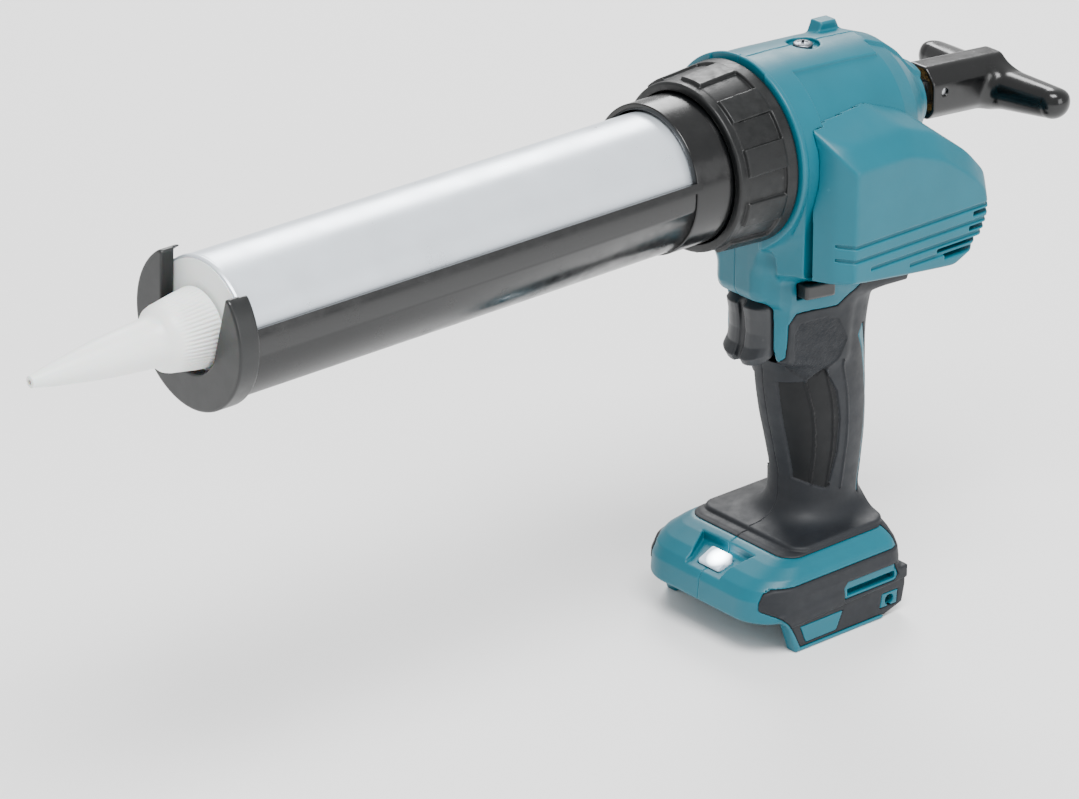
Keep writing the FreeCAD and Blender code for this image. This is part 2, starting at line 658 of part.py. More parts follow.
def trigger_spring():
    return rod_x(2.6, 30.0, 37.5, 0, -74).cut(rod_x(1.9, 29, 38.5, 0, -74))


def switch_unit():
    block = box(38.0, 52, -8, 8, -84, -62)
    plunger_hole = rod_x(3.4, 37, 41, 0, -74)
    return block.cut(plunger_hole)


def lock_button():
    bar = box(17, 32, -22.4, 22.4, -59.2, -53)
    waist = box(20, 40, -17, 17, -60, -56.2)
    return bar.cut(waist)


def speed_dial():
    wheel = rod_y(8.6, -3.2, 3.2, 68.5, -54.5)
    for i in range(18):
        a = 2 * math.pi * i / 18
        wheel = wheel.cut(rod_y(0.7, -4, 4, 68.5 + 8.7 * math.cos(a), -54.5 + 8.7 * math.sin(a)))
    return wheel.cut(rod_y(1.5 + RUN_FIT, -4, 4, 68.5, -54.5))


def dial_pin():
    return rod_y(1.5, -5.5, 5.5, 68.5, -54.5)


def control_board():
    return box(24, 55, -11, 11, -177.5, -176.2).fuse(box(30, 40, -6, 6, -176.2, -171))


def terminal_block():
    return box(8.2, 39.8, -23.8, 23.8, -184.5, -177.6).cut(box(5, 30, -15, 15, -190, -181))


def terminal_blades():
    return Part.makeCompound([box(10, 28, y - 0.4, y + 0.4, -184.0, -181.0) for y in (-12, -4, 4, 12)])


def battery_leads():
    return Part.makeCompound([rod_z(1.1, -170.9, -84.1, 43, y) for y in (-3.5, 3.5)])


def led_lens():
    lens = side_prism([(-15.2, -167.2), (-15.2, -165.0), (-10.5, -161.2), (-6, -160.9), (-6, -163.5),
                       (-9, -167.2)], -4.0, 4.0)
    return lens


def led_board():
    return box(-8.8, -7.6, -4.0, 4.0, -171.5, -167.4).fuse(box(-8.0, -4.5, -4.0, 4.0, -168.9, -167.4))


def hook_nuts():
    nut = rod_y(3.2, -36.4, -31.2, *HOOK_SCREW).cut(rod_y(HOOK_THREAD_R, -40, -30, *HOOK_SCREW))
    return Part.makeCompound([nut, mirror_y(nut)])


def screw_boss(x, z, head_y):
    """A screw post through both halves: seat for the head on the right, pilot hole on the left."""
    well = rod_y(SCREW_HEAD_R + 1.6, head_y - 2, 60, x, z)
    post = rod_y(SCREW_POST_R, -60, head_y, x, z)
    return well.fuse(post).cut(screw_hole(x, z, head_y))


def screw_hole(x, z, head_y):
    head = rod_y(SCREW_HEAD_R + 0.3, head_y, 60, x, z)
    return head.fuse(rod_y(SCREW_SHANK_R + RUN_FIT, SCREW_TIP_Y, head_y + 1, x, z))


def housing_screw(x, z, head_y):
    head = rod_y(SCREW_HEAD_R, head_y, head_y + 2.4, x, z)
    slots = box(x - 2, x + 2, head_y + 1.2, head_y + 3, z - 0.4, z + 0.4)
    slots = slots.fuse(box(x - 0.4, x + 0.4, head_y + 1.2, head_y + 3, z - 2, z + 2))
    return head.cut(slots).fuse(rod_y(SCREW_SHANK_R, SCREW_TIP_Y + 0.5, head_y, x, z))


def housing_screws():
    return Part.makeCompound([housing_screw(*place) for place in SCREW_PLACES])


def top_screw():
    x = 33.0
    cross_depth_z = 33.6
    head = rod_z(3.9, 33.0, 34.4, x)
    head = head.cut(box(x - 2.5, x + 2.5, -0.5, 0.5, cross_depth_z, 36))
    head = head.cut(box(x - 0.5, x + 0.5, -2.5, 2.5, cross_depth_z, 36))
    return head.fuse(rod_z(1.6, 16, 33, x))


def export(name, shape):
    solids = shape.Solids
    out = solids[0] if len(solids) == 1 else Part.makeCompound(solids)
    out.exportStep(os.path.join("parts", name + ".step"))
    box_ = out.BoundBox
    print(name, "solids", len(solids), "valid", out.isValid(), "volume", round(out.Volume, 1),
          "x", round(box_.XMin, 1), round(box_.XMax, 1))


def main():
    os.makedirs("parts", exist_ok=True)
    outer = outer_form()
    covers = grip_covers(outer)
    shell = housing(outer, covers)
    parts = {
        "housing_left": left_of(shell),
        "housing_right": right_of(shell),
        "motor_cover": motor_cover(outer),
        "grip_cover_left": left_of(covers),
        "grip_cover_right": right_of(covers),
        "front_socket": front_socket(),
        "rod_guide_front": rod_guide(0.0, 8.0, FRONT_GUIDE_R),
        "rod_guide_rear": rod_guide(79.0, 86.0, REAR_GUIDE_R),
        "retaining_ring": retaining_ring(),
        "holder_trough": holder_trough(),
        "holder_front_plate": holder_front_plate(),
        "cartridge_tube": cartridge_tube(),
        "cartridge_head": cartridge_head(),
        "cartridge_plunger": cartridge_plunger(),
        "nozzle": nozzle(),
        "push_rod": push_rod(),
        "piston": piston(),
        "piston_screw": piston_screw(),
        "pull_handle": pull_handle(),
        "handle_pin": handle_pin(),
        "gear_case": gear_case(),
        "gear_case_cover": gear_case_cover(),
        "output_pinion": output_pinion(),
        "pinion_bearing": pinion_bearing(),
        "ring_gear": ring_gear(),
        "planet_carrier": planet_carrier(),
        "sun_gear": sun_gear(),
        "motor_shaft": motor_shaft(),
        "armature": armature(),
        "commutator": commutator(),
        "cooling_fan": cooling_fan(),
        "motor_can": motor_can(),
        "motor_magnets": motor_magnets(),
        "brush_cap": brush_cap(),
        "carbon_brushes": carbon_brushes(),
        "shaft_bearings": shaft_bearings(),
        "trigger": trigger(),
        "trigger_spring": trigger_spring(),
        "switch_unit": switch_unit(),
        "lock_button": lock_button(),
        "speed_dial": speed_dial(),
        "dial_pin": dial_pin(),
        "control_board": control_board(),
        "terminal_block": terminal_block(),
        "terminal_blades": terminal_blades(),
        "battery_leads": battery_leads(),
        "led_lens": led_lens(),
        "led_board": led_board(),
        "hook_nuts": hook_nuts(),
        "top_screw": top_screw(),
        "housing_screws": housing_screws(),
    }
    for i, (x, z) in enumerate(planet_centres()):
        parts["planet_gear_" + str(i + 1)] = planet_gear(x, z)
    for name, shape in parts.items():
        export(name, shape)


main()
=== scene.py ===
"""Looks of the cordless caulking gun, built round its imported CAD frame.

Shapes are worked out in millimetres in the frame's own axes: the nozzle points along -X, the tool's
left side is -Y and up is +Z. Moulded pieces are level sets of distance fields, turned pieces are lathed.
"""

import json
import math

import bmesh
import bpy
import numpy as np
from mathutils import Matrix, Vector


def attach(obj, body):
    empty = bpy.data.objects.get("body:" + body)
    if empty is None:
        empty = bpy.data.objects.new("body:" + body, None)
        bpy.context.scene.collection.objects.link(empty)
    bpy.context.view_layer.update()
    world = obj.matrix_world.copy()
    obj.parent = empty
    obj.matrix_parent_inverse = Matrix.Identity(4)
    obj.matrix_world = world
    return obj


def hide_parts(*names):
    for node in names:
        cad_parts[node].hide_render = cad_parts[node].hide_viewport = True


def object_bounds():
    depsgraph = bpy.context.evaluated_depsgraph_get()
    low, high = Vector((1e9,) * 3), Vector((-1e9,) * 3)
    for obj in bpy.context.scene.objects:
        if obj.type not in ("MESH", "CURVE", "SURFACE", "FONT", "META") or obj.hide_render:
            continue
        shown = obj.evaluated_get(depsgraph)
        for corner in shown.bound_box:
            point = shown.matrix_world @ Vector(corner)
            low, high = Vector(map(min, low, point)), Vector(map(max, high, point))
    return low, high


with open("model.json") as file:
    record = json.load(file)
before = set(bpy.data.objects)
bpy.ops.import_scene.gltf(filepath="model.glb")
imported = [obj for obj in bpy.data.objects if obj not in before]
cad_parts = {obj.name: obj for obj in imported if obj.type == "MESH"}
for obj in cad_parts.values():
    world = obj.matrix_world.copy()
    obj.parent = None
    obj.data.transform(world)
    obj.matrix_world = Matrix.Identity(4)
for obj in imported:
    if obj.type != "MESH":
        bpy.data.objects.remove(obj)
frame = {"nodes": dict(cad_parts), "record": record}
CAD_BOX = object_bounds()
MM = 0.001


# ---------------------------------------------------------------- distance fields
def polygon(px, py, outline):
    """Signed distance to a closed outline of (x, y) points, negative inside."""
    best = np.full(px.shape, 1e9, np.float32)
    inside = np.zeros(px.shape, bool)
    for (ax, ay), (bx, by) in zip(outline, outline[1:] + outline[:1]):
        ex, ey = bx - ax, by - ay
        wx, wy = px - ax, py - ay
        t = np.clip((wx * ex + wy * ey) / (ex * ex + ey * ey), 0, 1)
        best = np.minimum(best, (wx - ex * t) ** 2 + (wy - ey * t) ** 2)
        if ay != by:
            inside ^= ((ay > py) != (by > py)) & (px < ex * (py - ay) / ey + ax)
    return np.where(inside, -1, 1) * np.sqrt(best)


def slab(v, low, high):
    return np.maximum(low - v, v - high)


def join(a, b, k):
    """Union with a fillet of about k."""
    h = np.clip(0.5 + 0.5 * (b - a) / k, 0, 1)
    return b + (a - b) * h - k * h * (1 - h)


def meet(a, b, k):
    """Intersection with edges rounded by about k."""
    return -join(-a, -b, k)


def carve(a, b, k):
    return meet(a, -b, k)


def union(*fields):
    d = fields[0]
    for f in fields[1:]:
        d = np.minimum(d, f)
    return d


def block(p, low, high, r=0.0):
    """Box between two corners, with edges rounded by r."""
    q = [np.abs(v - (a + b) / 2) - (b - a) / 2 + r for v, a, b in zip(p, low, high)]
    outside = np.sqrt(sum(np.maximum(v, 0) ** 2 for v in q))
    return outside + np.minimum(np.maximum(np.maximum(q[0], q[1]), q[2]), 0) - r


def rod(p, axis, radius, low, high, centre=(0, 0), k=0.3):
    """Cylinder along an axis; centre is in the other two coordinates, in order."""
    u, v = [p[i] for i in range(3) if i != axis]
    return meet(np.hypot(u - centre[0], v - centre[1]) - radius, slab(p[axis], low, high), k)


def convex(p, planes, k):
    """Convex form bounded by (normal, offset) planes, with all its edges rounded by about k."""
    d = np.stack([p[0] * n[0] + p[1] * n[1] + p[2] * n[2] - c for n, c in planes])
    top = d.max(axis=0)
    return top + k * np.log(np.exp((d - top) / k).sum(axis=0))


def plane_through(a, b, c, inner):
    """Plane through three points, its normal away from the inner point."""
    a, b, c, inner = (np.array(v, float) for v in (a, b, c, inner))
    n = np.cross(b - a, c - a)
    n /= np.linalg.norm(n)
    if n @ (inner - a) > 0:
        n = -n
    return n, float(n @ a)


# ---------------------------------------------------------------- level sets to meshes
CHUNK = 16
REACH = 1.5       # how far past a chunk's half diagonal a field may still come down to zero


def sampled(field, low, high, step):
    """Field values on a grid; chunks far from the surface hold their centre's value."""
    chunks = [int(math.ceil((b - a) / step / CHUNK)) for a, b in zip(low, high)]
    values = np.empty([c * CHUNK + 1 for c in chunks], np.float32)
    side = step * CHUNK
    mids = [a + side * (np.arange(c) + 0.5) for a, c in zip(low, chunks)]
    far = field(np.meshgrid(*mids, indexing="ij"))
    near = np.abs(far) < side * 0.866 * REACH
    for active in (False, True):
        for i, j, k in np.argwhere(near == active):
            spot = tuple(slice(n * CHUNK, (n + 1) * CHUNK + 1) for n in (i, j, k))
            if not active:
                values[spot] = far[i, j, k]
                continue
            axes = [low[m] + step * np.arange(s.start, s.stop) for m, s in enumerate(spot)]
            values[spot] = field(np.meshgrid(*axes, indexing="ij"))
    return values


def surface_net(values, low, step):
    """Vertices and quads of the grid's zero level, one vertex for each cell that it crosses."""
    inside = values < 0
    corners = [(i, j, k) for i in (0, 1) for j in (0, 1) for k in (0, 1)]
    size = [n - 1 for n in values.shape]
    total = np.zeros(size, np.uint8)
    for i, j, k in corners:
        total += inside[i:i + size[0], j:j + size[1], k:k + size[2]]
    cells = np.argwhere((total > 0) & (total < 8))
    ids = np.full(size, -1, np.int32)
    ids[tuple(cells.T)] = np.arange(len(cells))
    places, hits = np.zeros((len(cells), 3)), np.zeros(len(cells))
    for a in corners:
        for axis in range(3):
            if a[axis]:
                continue
            b = tuple(v + (n == axis) for n, v in enumerate(a))
            va, vb = values[tuple((cells + a).T)], values[tuple((cells + b).T)]
            crossed = (va < 0) != (vb < 0)
            t = np.where(crossed, va / np.where(crossed, va - vb, 1), 0)
            spot = np.tile(np.array(a, float), (len(cells), 1))
            spot[:, axis] += t
            places += spot * crossed[:, None]
            hits += crossed
    points = np.array(low) + step * (cells + places / hits[:, None])
    quads = []
    for axis in range(3):
        u, v = [n for n in range(3) if n != axis]
        cut = [slice(1, -1)] * 3
        cut[axis] = slice(0, -1)
        after = list(cut)
        after[axis] = slice(1, None)
        first = inside[tuple(cut)]
        found = np.argwhere(first != inside[tuple(after)])
        rising = first[tuple(found.T)]
        found = found + [0 if n == axis else 1 for n in range(3)]
        du, dv = np.eye(3, dtype=int)[u], np.eye(3, dtype=int)[v]
        loop = np.stack([ids[tuple((found - o).T)] for o in (0 * du, du, du + dv, dv)], 1)
        turned = rising if axis == 1 else ~rising
        quads.append(np.where(turned[:, None], loop[:, ::-1], loop))
    return points, np.concatenate(quads)


def settled(field, points, step):
    """Points moved onto the field's zero level along its gradient."""
    e = 0.02
    for _ in range(2):
        p = list(points.T)
        d = field(p)
        slope = np.stack([(field([v + e * (n == m) for n, v in enumerate(p)]) - d) / e for m in range(3)], 1)
        push = d / np.maximum((slope ** 2).sum(1), 0.05)
        points = points - slope * np.clip(push, -0.4 * step, 0.4 * step)[:, None]
    return points


def mesh_object(name, points, faces):
    """Smooth-shaded object from points in millimetres and faces of equal length."""
    mesh = bpy.data.meshes.new(name)
    points, faces = np.asarray(points, np.float32) * MM, np.asarray(faces, np.int32)
    count, corners = faces.shape
    mesh.vertices.add(len(points))
    mesh.vertices.foreach_set("co", points.ravel())
    mesh.loops.add(count * corners)
    mesh.loops.foreach_set("vertex_index", faces.ravel())
    mesh.polygons.add(count)
    mesh.polygons.foreach_set("loop_start", np.arange(0, count * corners, corners, dtype=np.int32))
    mesh.update(calc_edges=True)
    mesh.validate()
    mesh.shade_smooth()
    obj = bpy.data.objects.new(name, mesh)
    bpy.context.scene.collection.objects.link(obj)
    return obj


QUICK = 1.0


def moulded(name, field, low, high, step, turn=0.0):
    """Object for a field's inside, between two corners; turn is in degrees about X."""
    step = step * QUICK
    low = [v - 2.3 * step for v in low]
    high = [v + 2.3 * step for v in high]
    points, quads = surface_net(sampled(field, low, high, step), low, step)
    points = settled(field, points, step)
    if turn:
        points = turned_x(points, turn)
    return mesh_object(name, points, quads)


def turned_x(points, degrees):
    c, s = math.cos(math.radians(degrees)), math.sin(math.radians(degrees))
    return points @ np.array([[1, 0, 0], [0, c, s], [0, -s, c]])


def lathed(name, profile, segments=160, radial=None, turn=0.0):
    """Closed (x, r) profile turned about the barrel axis; radial(x, r, angle) may change x and r."""
    angles = np.linspace(0, 2 * math.pi, segments, endpoint=False)
    x, a = np.meshgrid([p[0] for p in profile], angles, indexing="ij")
    r = np.repeat(np.array([[p[1]] for p in profile], float), segments, axis=1)
    if radial:
        x, r = radial(x, r, a)
    points = np.stack([x, r * np.sin(a), r * np.cos(a)], -1).reshape(-1, 3)
    n = len(profile)
    i, j = np.meshgrid(np.arange(n), np.arange(segments), indexing="ij")
    i2, j2 = (i + 1) % n, (j + 1) % segments
    faces = np.stack([i * segments + j, i * segments + j2, i2 * segments + j2, i2 * segments + j], -1)
    if turn:
        points = turned_x(points, turn)
    return mesh_object(name, points, faces.reshape(-1, 4))


def creased(obj, degrees=35):
    """Sharp shading at edges over an angle."""
    mesh = obj.data
    mesh.set_sharp_from_angle(angle=math.radians(degrees))
    return obj


def softened(points, cuts, closed=True):
    """Outline with each corner replaced by a short arc of points that starts cuts away."""
    out, n = [], len(points)
    for i, p in enumerate(points):
        p = np.array(p, float)
        if not closed and i in (0, n - 1):
            out.append(tuple(p))
            continue
        before, after = np.array(points[i - 1], float), np.array(points[(i + 1) % n], float)
        a, b = before - p, after - p
        reach = min(cuts, 0.45 * np.linalg.norm(a), 0.45 * np.linalg.norm(b))
        a, b = p + a / np.linalg.norm(a) * reach, p + b / np.linalg.norm(b) * reach
        for t in (0.0, 0.33, 0.67, 1.0):
            out.append(tuple((1 - t) ** 2 * a + 2 * t * (1 - t) * p + t * t * b))
    return out


# ---------------------------------------------------------------- materials
def noise(tree, scale, detail=3.0, rough=0.5, stretch=None):
    """Noise texture in object space, scale in features per metre."""
    coords = tree.nodes.new("ShaderNodeTexCoord")
    mapping = tree.nodes.new("ShaderNodeMapping")
    mapping.inputs["Scale"].default_value = stretch or (1, 1, 1)
    tree.links.new(coords.outputs["Object"], mapping.inputs["Vector"])
    texture = tree.nodes.new("ShaderNodeTexNoise")
    texture.inputs["Scale"].default_value = scale
    texture.inputs["Detail"].default_value = detail
    texture.inputs["Roughness"].default_value = rough
    tree.links.new(mapping.outputs["Vector"], texture.inputs["Vector"])
    return texture.outputs["Fac"]


def ranged(tree, source, low, high, start=0.3, end=0.7):
    mapped = tree.nodes.new("ShaderNodeMapRange")
    for key, value in (("From Min", start), ("From Max", end), ("To Min", low), ("To Max", high)):
        mapped.inputs[key].default_value = value
    tree.links.new(source, mapped.inputs["Value"])
    return mapped.outputs["Result"]


def blended(tree, factor, first, second):
    mix = tree.nodes.new("ShaderNodeMix")
    mix.data_type = "RGBA"
    mix.inputs["A"].default_value = (*first, 1)
    mix.inputs["B"].default_value = (*second, 1)
    tree.links.new(factor, mix.inputs["Factor"])
    return mix.outputs["Result"]


def bumped(tree, sources):
    """Chain of bump nodes for (height output, distance in mm, strength)."""
    normal = None
    for height, distance, strength in sources:
        bump = tree.nodes.new("ShaderNodeBump")
        bump.inputs["Distance"].default_value = distance * MM
        bump.inputs["Strength"].default_value = strength
        tree.links.new(height, bump.inputs["Height"])
        if normal is not None:
            tree.links.new(normal, bump.inputs["Normal"])
        normal = bump.outputs["Normal"]
    return normal


def srgb(r, g, b):
    """Linear colour from 0-255 display values."""
    return tuple(((v / 255 + 0.055) / 1.055) ** 2.4 if v > 10.3 else v / 255 / 12.92 for v in (r, g, b))


def shaded(colour, by):
    return tuple(min(1.0, v * by) for v in colour)


def finish_material(name, colour, rough, spread=0.06, contrast=0.06, cloud=60.0, grain=None, wear=0.0,
                    **fixed):
    """Principled surface with clouded colour and roughness, fine grain and paler worn edges.

    grain is (features per metre, depth in mm, strength); fixed values go straight on the shader."""
    material = bpy.data.materials.new(name)
    material.use_nodes = True
    tree = material.node_tree
    shader = tree.nodes["Principled BSDF"]
    cloudy = noise(tree, cloud, 4.0)
    dark, light = shaded(colour, 1 - contrast), shaded(colour, 1 + contrast)
    tint = blended(tree, ranged(tree, cloudy, 0, 1), dark, light)
    if wear:
        geometry = tree.nodes.new("ShaderNodeNewGeometry")
        edge = ranged(tree, geometry.outputs["Pointiness"], 0, wear, 0.51, 0.58)
        over = tree.nodes.new("ShaderNodeMix")
        over.data_type = "RGBA"
        over.inputs["B"].default_value = (*[min(1, v * 1.6 + 0.03) for v in colour], 1)
        tree.links.new(edge, over.inputs["Factor"])
        tree.links.new(tint, over.inputs["A"])
        tint = over.outputs["Result"]
    tree.links.new(tint, shader.inputs["Base Color"])
    patchy = noise(tree, cloud * 2.7, 5.0, 0.6)
    tree.links.new(ranged(tree, patchy, rough - spread, rough + spread), shader.inputs["Roughness"])
    layers = [(noise(tree, cloud * 1.3, 2.0), 0.05, 0.12)]
    for scale, depth, strength in grain or []:
        layers.append((noise(tree, scale, 2.0, 0.6), depth, strength))
    tree.links.new(bumped(tree, layers), shader.inputs["Normal"])
    for key, value in fixed.items():
        shader.inputs[key.replace("_", " ")].default_value = value
    return material


def brushed_material(name, colour, rough, stretch, **fixed):
    """Metal with fine lines along one direction."""
    material = finish_material(name, colour, rough, 0.08, 0.05, Metallic=1.0, **fixed)
    tree = material.node_tree
    lines = noise(tree, 900, 3.0, 0.7, stretch)
    normal = bumped(tree, [(lines, 0.02, 0.25)])
    tree.links.new(normal, tree.nodes["Principled BSDF"].inputs["Normal"])
    return material


TEAL = srgb(0, 90, 106)
FINE_GRAIN = [(1500, 0.05, 0.22), (5200, 0.03, 0.18)]
MATERIALS = {
    "teal_plastic": finish_material("teal_plastic", TEAL, 0.4, 0.05, 0.06, 45, FINE_GRAIN, 0.25,
                                    Specular_IOR_Level=0.35),
    "grip_rubber": finish_material("grip_rubber", srgb(15, 19, 25), 0.6, 0.06, 0.12, 70,
                                   [(2600, 0.03, 0.2)], 0.15, Specular_IOR_Level=0.4),
    "grip_pattern": finish_material("grip_pattern", srgb(17, 21, 27), 0.66, 0.08, 0.14, 90,
                                    [(700, 0.5, 1.0), (1500, 0.25, 0.9)], Specular_IOR_Level=0.4),
    "grip_panel": finish_material("grip_panel", srgb(4, 6, 9), 0.5, 0.06, 0.1, 80, [(2600, 0.02, 0.15)],
                                  Specular_IOR_Level=0.25),
    "ring_plastic": finish_material("ring_plastic", srgb(9, 11, 12), 0.4, 0.1, 0.16, 110,
                                    [(1300, 0.06, 0.35), (3800, 0.03, 0.25)], 0.5, Specular_IOR_Level=0.35),
    "black_gloss": finish_material("black_gloss", srgb(4, 5, 6), 0.22, 0.07, 0.1, 50,
                                   [(2200, 0.01, 0.1)], 0.3),
    "black_satin": finish_material("black_satin", srgb(10, 13, 14), 0.36, 0.06, 0.1, 60, FINE_GRAIN, 0.35),
    "trigger_plastic": finish_material("trigger_plastic", srgb(26, 29, 33), 0.42, 0.05, 0.08, 70,
                                       FINE_GRAIN, 0.25),
    "tube_foil": finish_material("tube_foil", srgb(222, 230, 238), 0.32, 0.05, 0.015, 25,
                                 Metallic=0.55),
    "white_plastic": finish_material("white_plastic", srgb(243, 245, 243), 0.36, 0.06, 0.01, 60,
                                     [(1600, 0.02, 0.1)], Subsurface_Weight=0.25, Subsurface_Scale=0.004),
    "steel": brushed_material("steel", srgb(170, 172, 175), 0.3, (1, 30, 30)),
    "zinc": brushed_material("zinc", srgb(118, 122, 128), 0.26, (1, 8, 8)),
    "cast_alloy": finish_material("cast_alloy", srgb(165, 167, 170), 0.5, 0.08, 0.08, 90, [(1400, 0.06, 0.4)],
                                  Metallic=0.9),
    "sintered": finish_material("sintered", srgb(105, 106, 108), 0.55, 0.06, 0.1, 120, [(4000, 0.03, 0.4)],
                                Metallic=0.9),
    "copper": brushed_material("copper", srgb(186, 110, 70), 0.35, (20, 1, 20)),
    "brass": brushed_material("brass", srgb(196, 160, 90), 0.28, (1, 12, 12)),
    "magnet": finish_material("magnet", srgb(52, 52, 55), 0.6, 0.06, 0.1, 120, [(2500, 0.03, 0.3)]),
    "carbon": finish_material("carbon", srgb(30, 30, 31), 0.7, 0.06, 0.1, 120, [(4000, 0.03, 0.3)]),
    "circuit": finish_material("circuit", srgb(20, 84, 46), 0.35, 0.05, 0.08, 140, [(900, 0.03, 0.2)]),
    "switch_plastic": finish_material("switch_plastic", srgb(40, 40, 43), 0.45, 0.05, 0.08, 70, FINE_GRAIN),
    "lead_red": finish_material("lead_red", srgb(160, 32, 26), 0.4, 0.05, 0.08, 70, None),
}


def lens_material(name):
    """Clear lens over a lit white diode."""
    material = finish_material(name, srgb(200, 216, 232), 0.1, 0.04, 0.02, 200)
    tree = material.node_tree
    shader = tree.nodes["Principled BSDF"]
    shader.inputs["Emission Color"].default_value = (0.86, 0.95, 1.0, 1)
    coords = tree.nodes.new("ShaderNodeTexCoord")
    reach = tree.nodes.new("ShaderNodeVectorMath")
    reach.operation = "DISTANCE"
    reach.inputs[1].default_value = (-0.0055, -0.001, -0.1652)
    tree.links.new(coords.outputs["Object"], reach.inputs[0])
    glow = ranged(tree, reach.outputs["Value"], 14.0, 0.15, 0.0018, 0.0052)
    tree.links.new(glow, shader.inputs["Emission Strength"])
    return material


MATERIALS["clear_lens"] = lens_material("clear_lens")


def dress(obj, *names):
    obj.data.materials.clear()
    for name in names:
        obj.data.materials.append(MATERIALS[name])
    return obj


def paint(obj, index, field):
    """Gives a material index to the faces whose centres, in millimetres, have the field under zero."""
    mesh = obj.data
    centres = np.zeros(len(mesh.polygons) * 3)
    mesh.polygons.foreach_get("center", centres)
    chosen = field(list(centres.reshape(-1, 3).T / MM)) < 0
    indices = np.zeros(len(mesh.polygons), np.int32)
    mesh.polygons.foreach_get("material_index", indices)
    indices[chosen] = index
    mesh.polygons.foreach_set("material_index", indices)
    mesh.update()


def place(obj, body, nodes):
    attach(obj, body)
    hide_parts(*nodes)
    return obj


# ---------------------------------------------------------------- outer forms of the housing
GEAR_X, GEAR_Z = 47.0, -21.0
BARREL = [(0, -20), (0, 35.9), (16, 35.4), (42, 33.8), (58, 32.4), (67, 29), (74, 24), (80, 18), (84, 15),
          (87, 14), (87, -20)]
BELLY = [(-28, -12), (-25, -36), (-20.5, -50), (-20, -66), (20, -66), (20.5, -50), (25, -36), (28, -12)]
BELLY_PLAN = [(0, -10), (5, -14), (13, -21), (24, -30), (60, -31), (86, -19), (86, 19), (60, 31), (24, 30),
              (13, 21), (5, 14), (0, 10)]
BELLY_SIDE = [(-0.6, -20), (-0.2, -55), (3, -59), (12, -62), (72, -66), (81, -46), (87, -24), (87, -10)]
NECK_PLAN = [(-0.3, -8.5), (3.5, -12.5), (9, -16.2), (40, -17), (84, -15), (84, 15), (40, 17), (9, 16.2),
             (3.5, 12.5), (-0.3, 8.5)]
GUARD = [(8.8, -55), (9.4, -79), (11.6, -84.8), (18, -87.8), (42, -89), (42, -55)]
GRIP_Z = [-170, -163, -151, -140, -128, -112, -97, -80, -66, -48]
GRIP_X = [42.0, 42.5, 43.5, 44.2, 43.6, 41.7, 40.0, 39.6, 41.0, 44.0]
GRIP_A = [23.0, 20.5, 18.2, 18.6, 20.5, 22.6, 23.4, 23.8, 25.0, 28.0]
GRIP_B = [19.0, 17.0, 15.0, 15.0, 15.5, 16.3, 16.5, 17.0, 18.0, 20.0]
BASE_Z = [-181.0, -172.0, -168.0, -165.0, -162.0, -159.6]
BASE_FRONT = [-15.4, -14.9, -12.5, -8.0, -1.0, 6.0]
BASE_REAR = [60.0, 60.0, 59.8, 59.3, 58.7, 58.0]
BASE_HALF = [37.0, 36.9, 36.3, 34.8, 31.8, 28.6]
BASE_ROUND = [16.5, 16.5, 15.6, 13.5, 10.5, 7.5]


PANEL_SINK = 1.15        # depth of the lower panel on each side of the barrel


def smooth_lookup(z, heights, values):
    """Values between heights, eased so that the slope doesn't jump."""
    h, v = np.array(heights, float), np.array(values, float)
    slope = np.gradient(v, h)
    i = np.clip(np.searchsorted(h, z) - 1, 0, len(h) - 2)
    w = h[i + 1] - h[i]
    t = np.clip((z - h[i]) / w, 0, 1)
    a, b = v[i], v[i + 1]
    return (a * (1 + 2 * t) * (1 - t) ** 2 + slope[i] * w * t * (1 - t) ** 2
            + b * t * t * (3 - 2 * t) + slope[i + 1] * w * t * t * (t - 1))


def barrel(p):
    x, y, z = p
    r = np.hypot(y, z)
    d = polygon(x, r, BARREL) - 0.2
    d = meet(d, np.maximum(-x, x - 87), 1.0)
    d = np.minimum(d + PANEL_SINK, carve(d, side_panel(p), 0.3))
    collar = meet(r - 37.2, slab(x, 0.0, 2.7), 0.8)
    return join(d, collar, 0.6)


def side_panel(p):
    """Region of each side, behind the front band and under the top strip, that lies lower."""
    x, y, _ = p
    top = np.minimum(15.3 - np.abs(y), np.maximum(56.6 - x, 8.2 - np.abs(y)))
    return np.maximum(13.6 - x, top)


def belly(p):
    x, y, z = p
    d = meet(polygon(y, z, BELLY), polygon(x, y, BELLY_PLAN), 5.0)
    d = meet(d, -43.6 - 0.42 * (x - 4) - z, 3.0)
    neck = meet(polygon(x, y, NECK_PLAN), slab(z, -66, -14), 3.0)
    return meet(join(d, neck, 7.0), polygon(x, z, BELLY_SIDE), 3.5)


def cover_mount(p):
    """Shoulder of the left half that carries the front and the underside of the motor cover."""
    x, y, z = p
    d = meet(cover_form(p) + 0.05, -30.5 - y, 0.3)
    return meet(d, np.maximum(z - 4, x - 28), 3.0)


def guard(p):
    x, y, z = p
    half = 13 + 3.4 * np.clip((x - 9) / 5, 0, 1)
    return meet(polygon(x, z, GUARD), np.abs(y) - half, 3.0)


def grip(p):
    x, y, z = p
    a, b = smooth_lookup(z, GRIP_Z, GRIP_A), smooth_lookup(z, GRIP_Z, GRIP_B)
    u = np.abs(x - smooth_lookup(z, GRIP_Z, GRIP_X)) / a
    v = np.abs(y) / b
    d = ((u ** 2.25 + v ** 2.25) ** (1 / 2.25) - 1) * np.minimum(a, b)
    return np.maximum(d, slab(z, -168, -50))


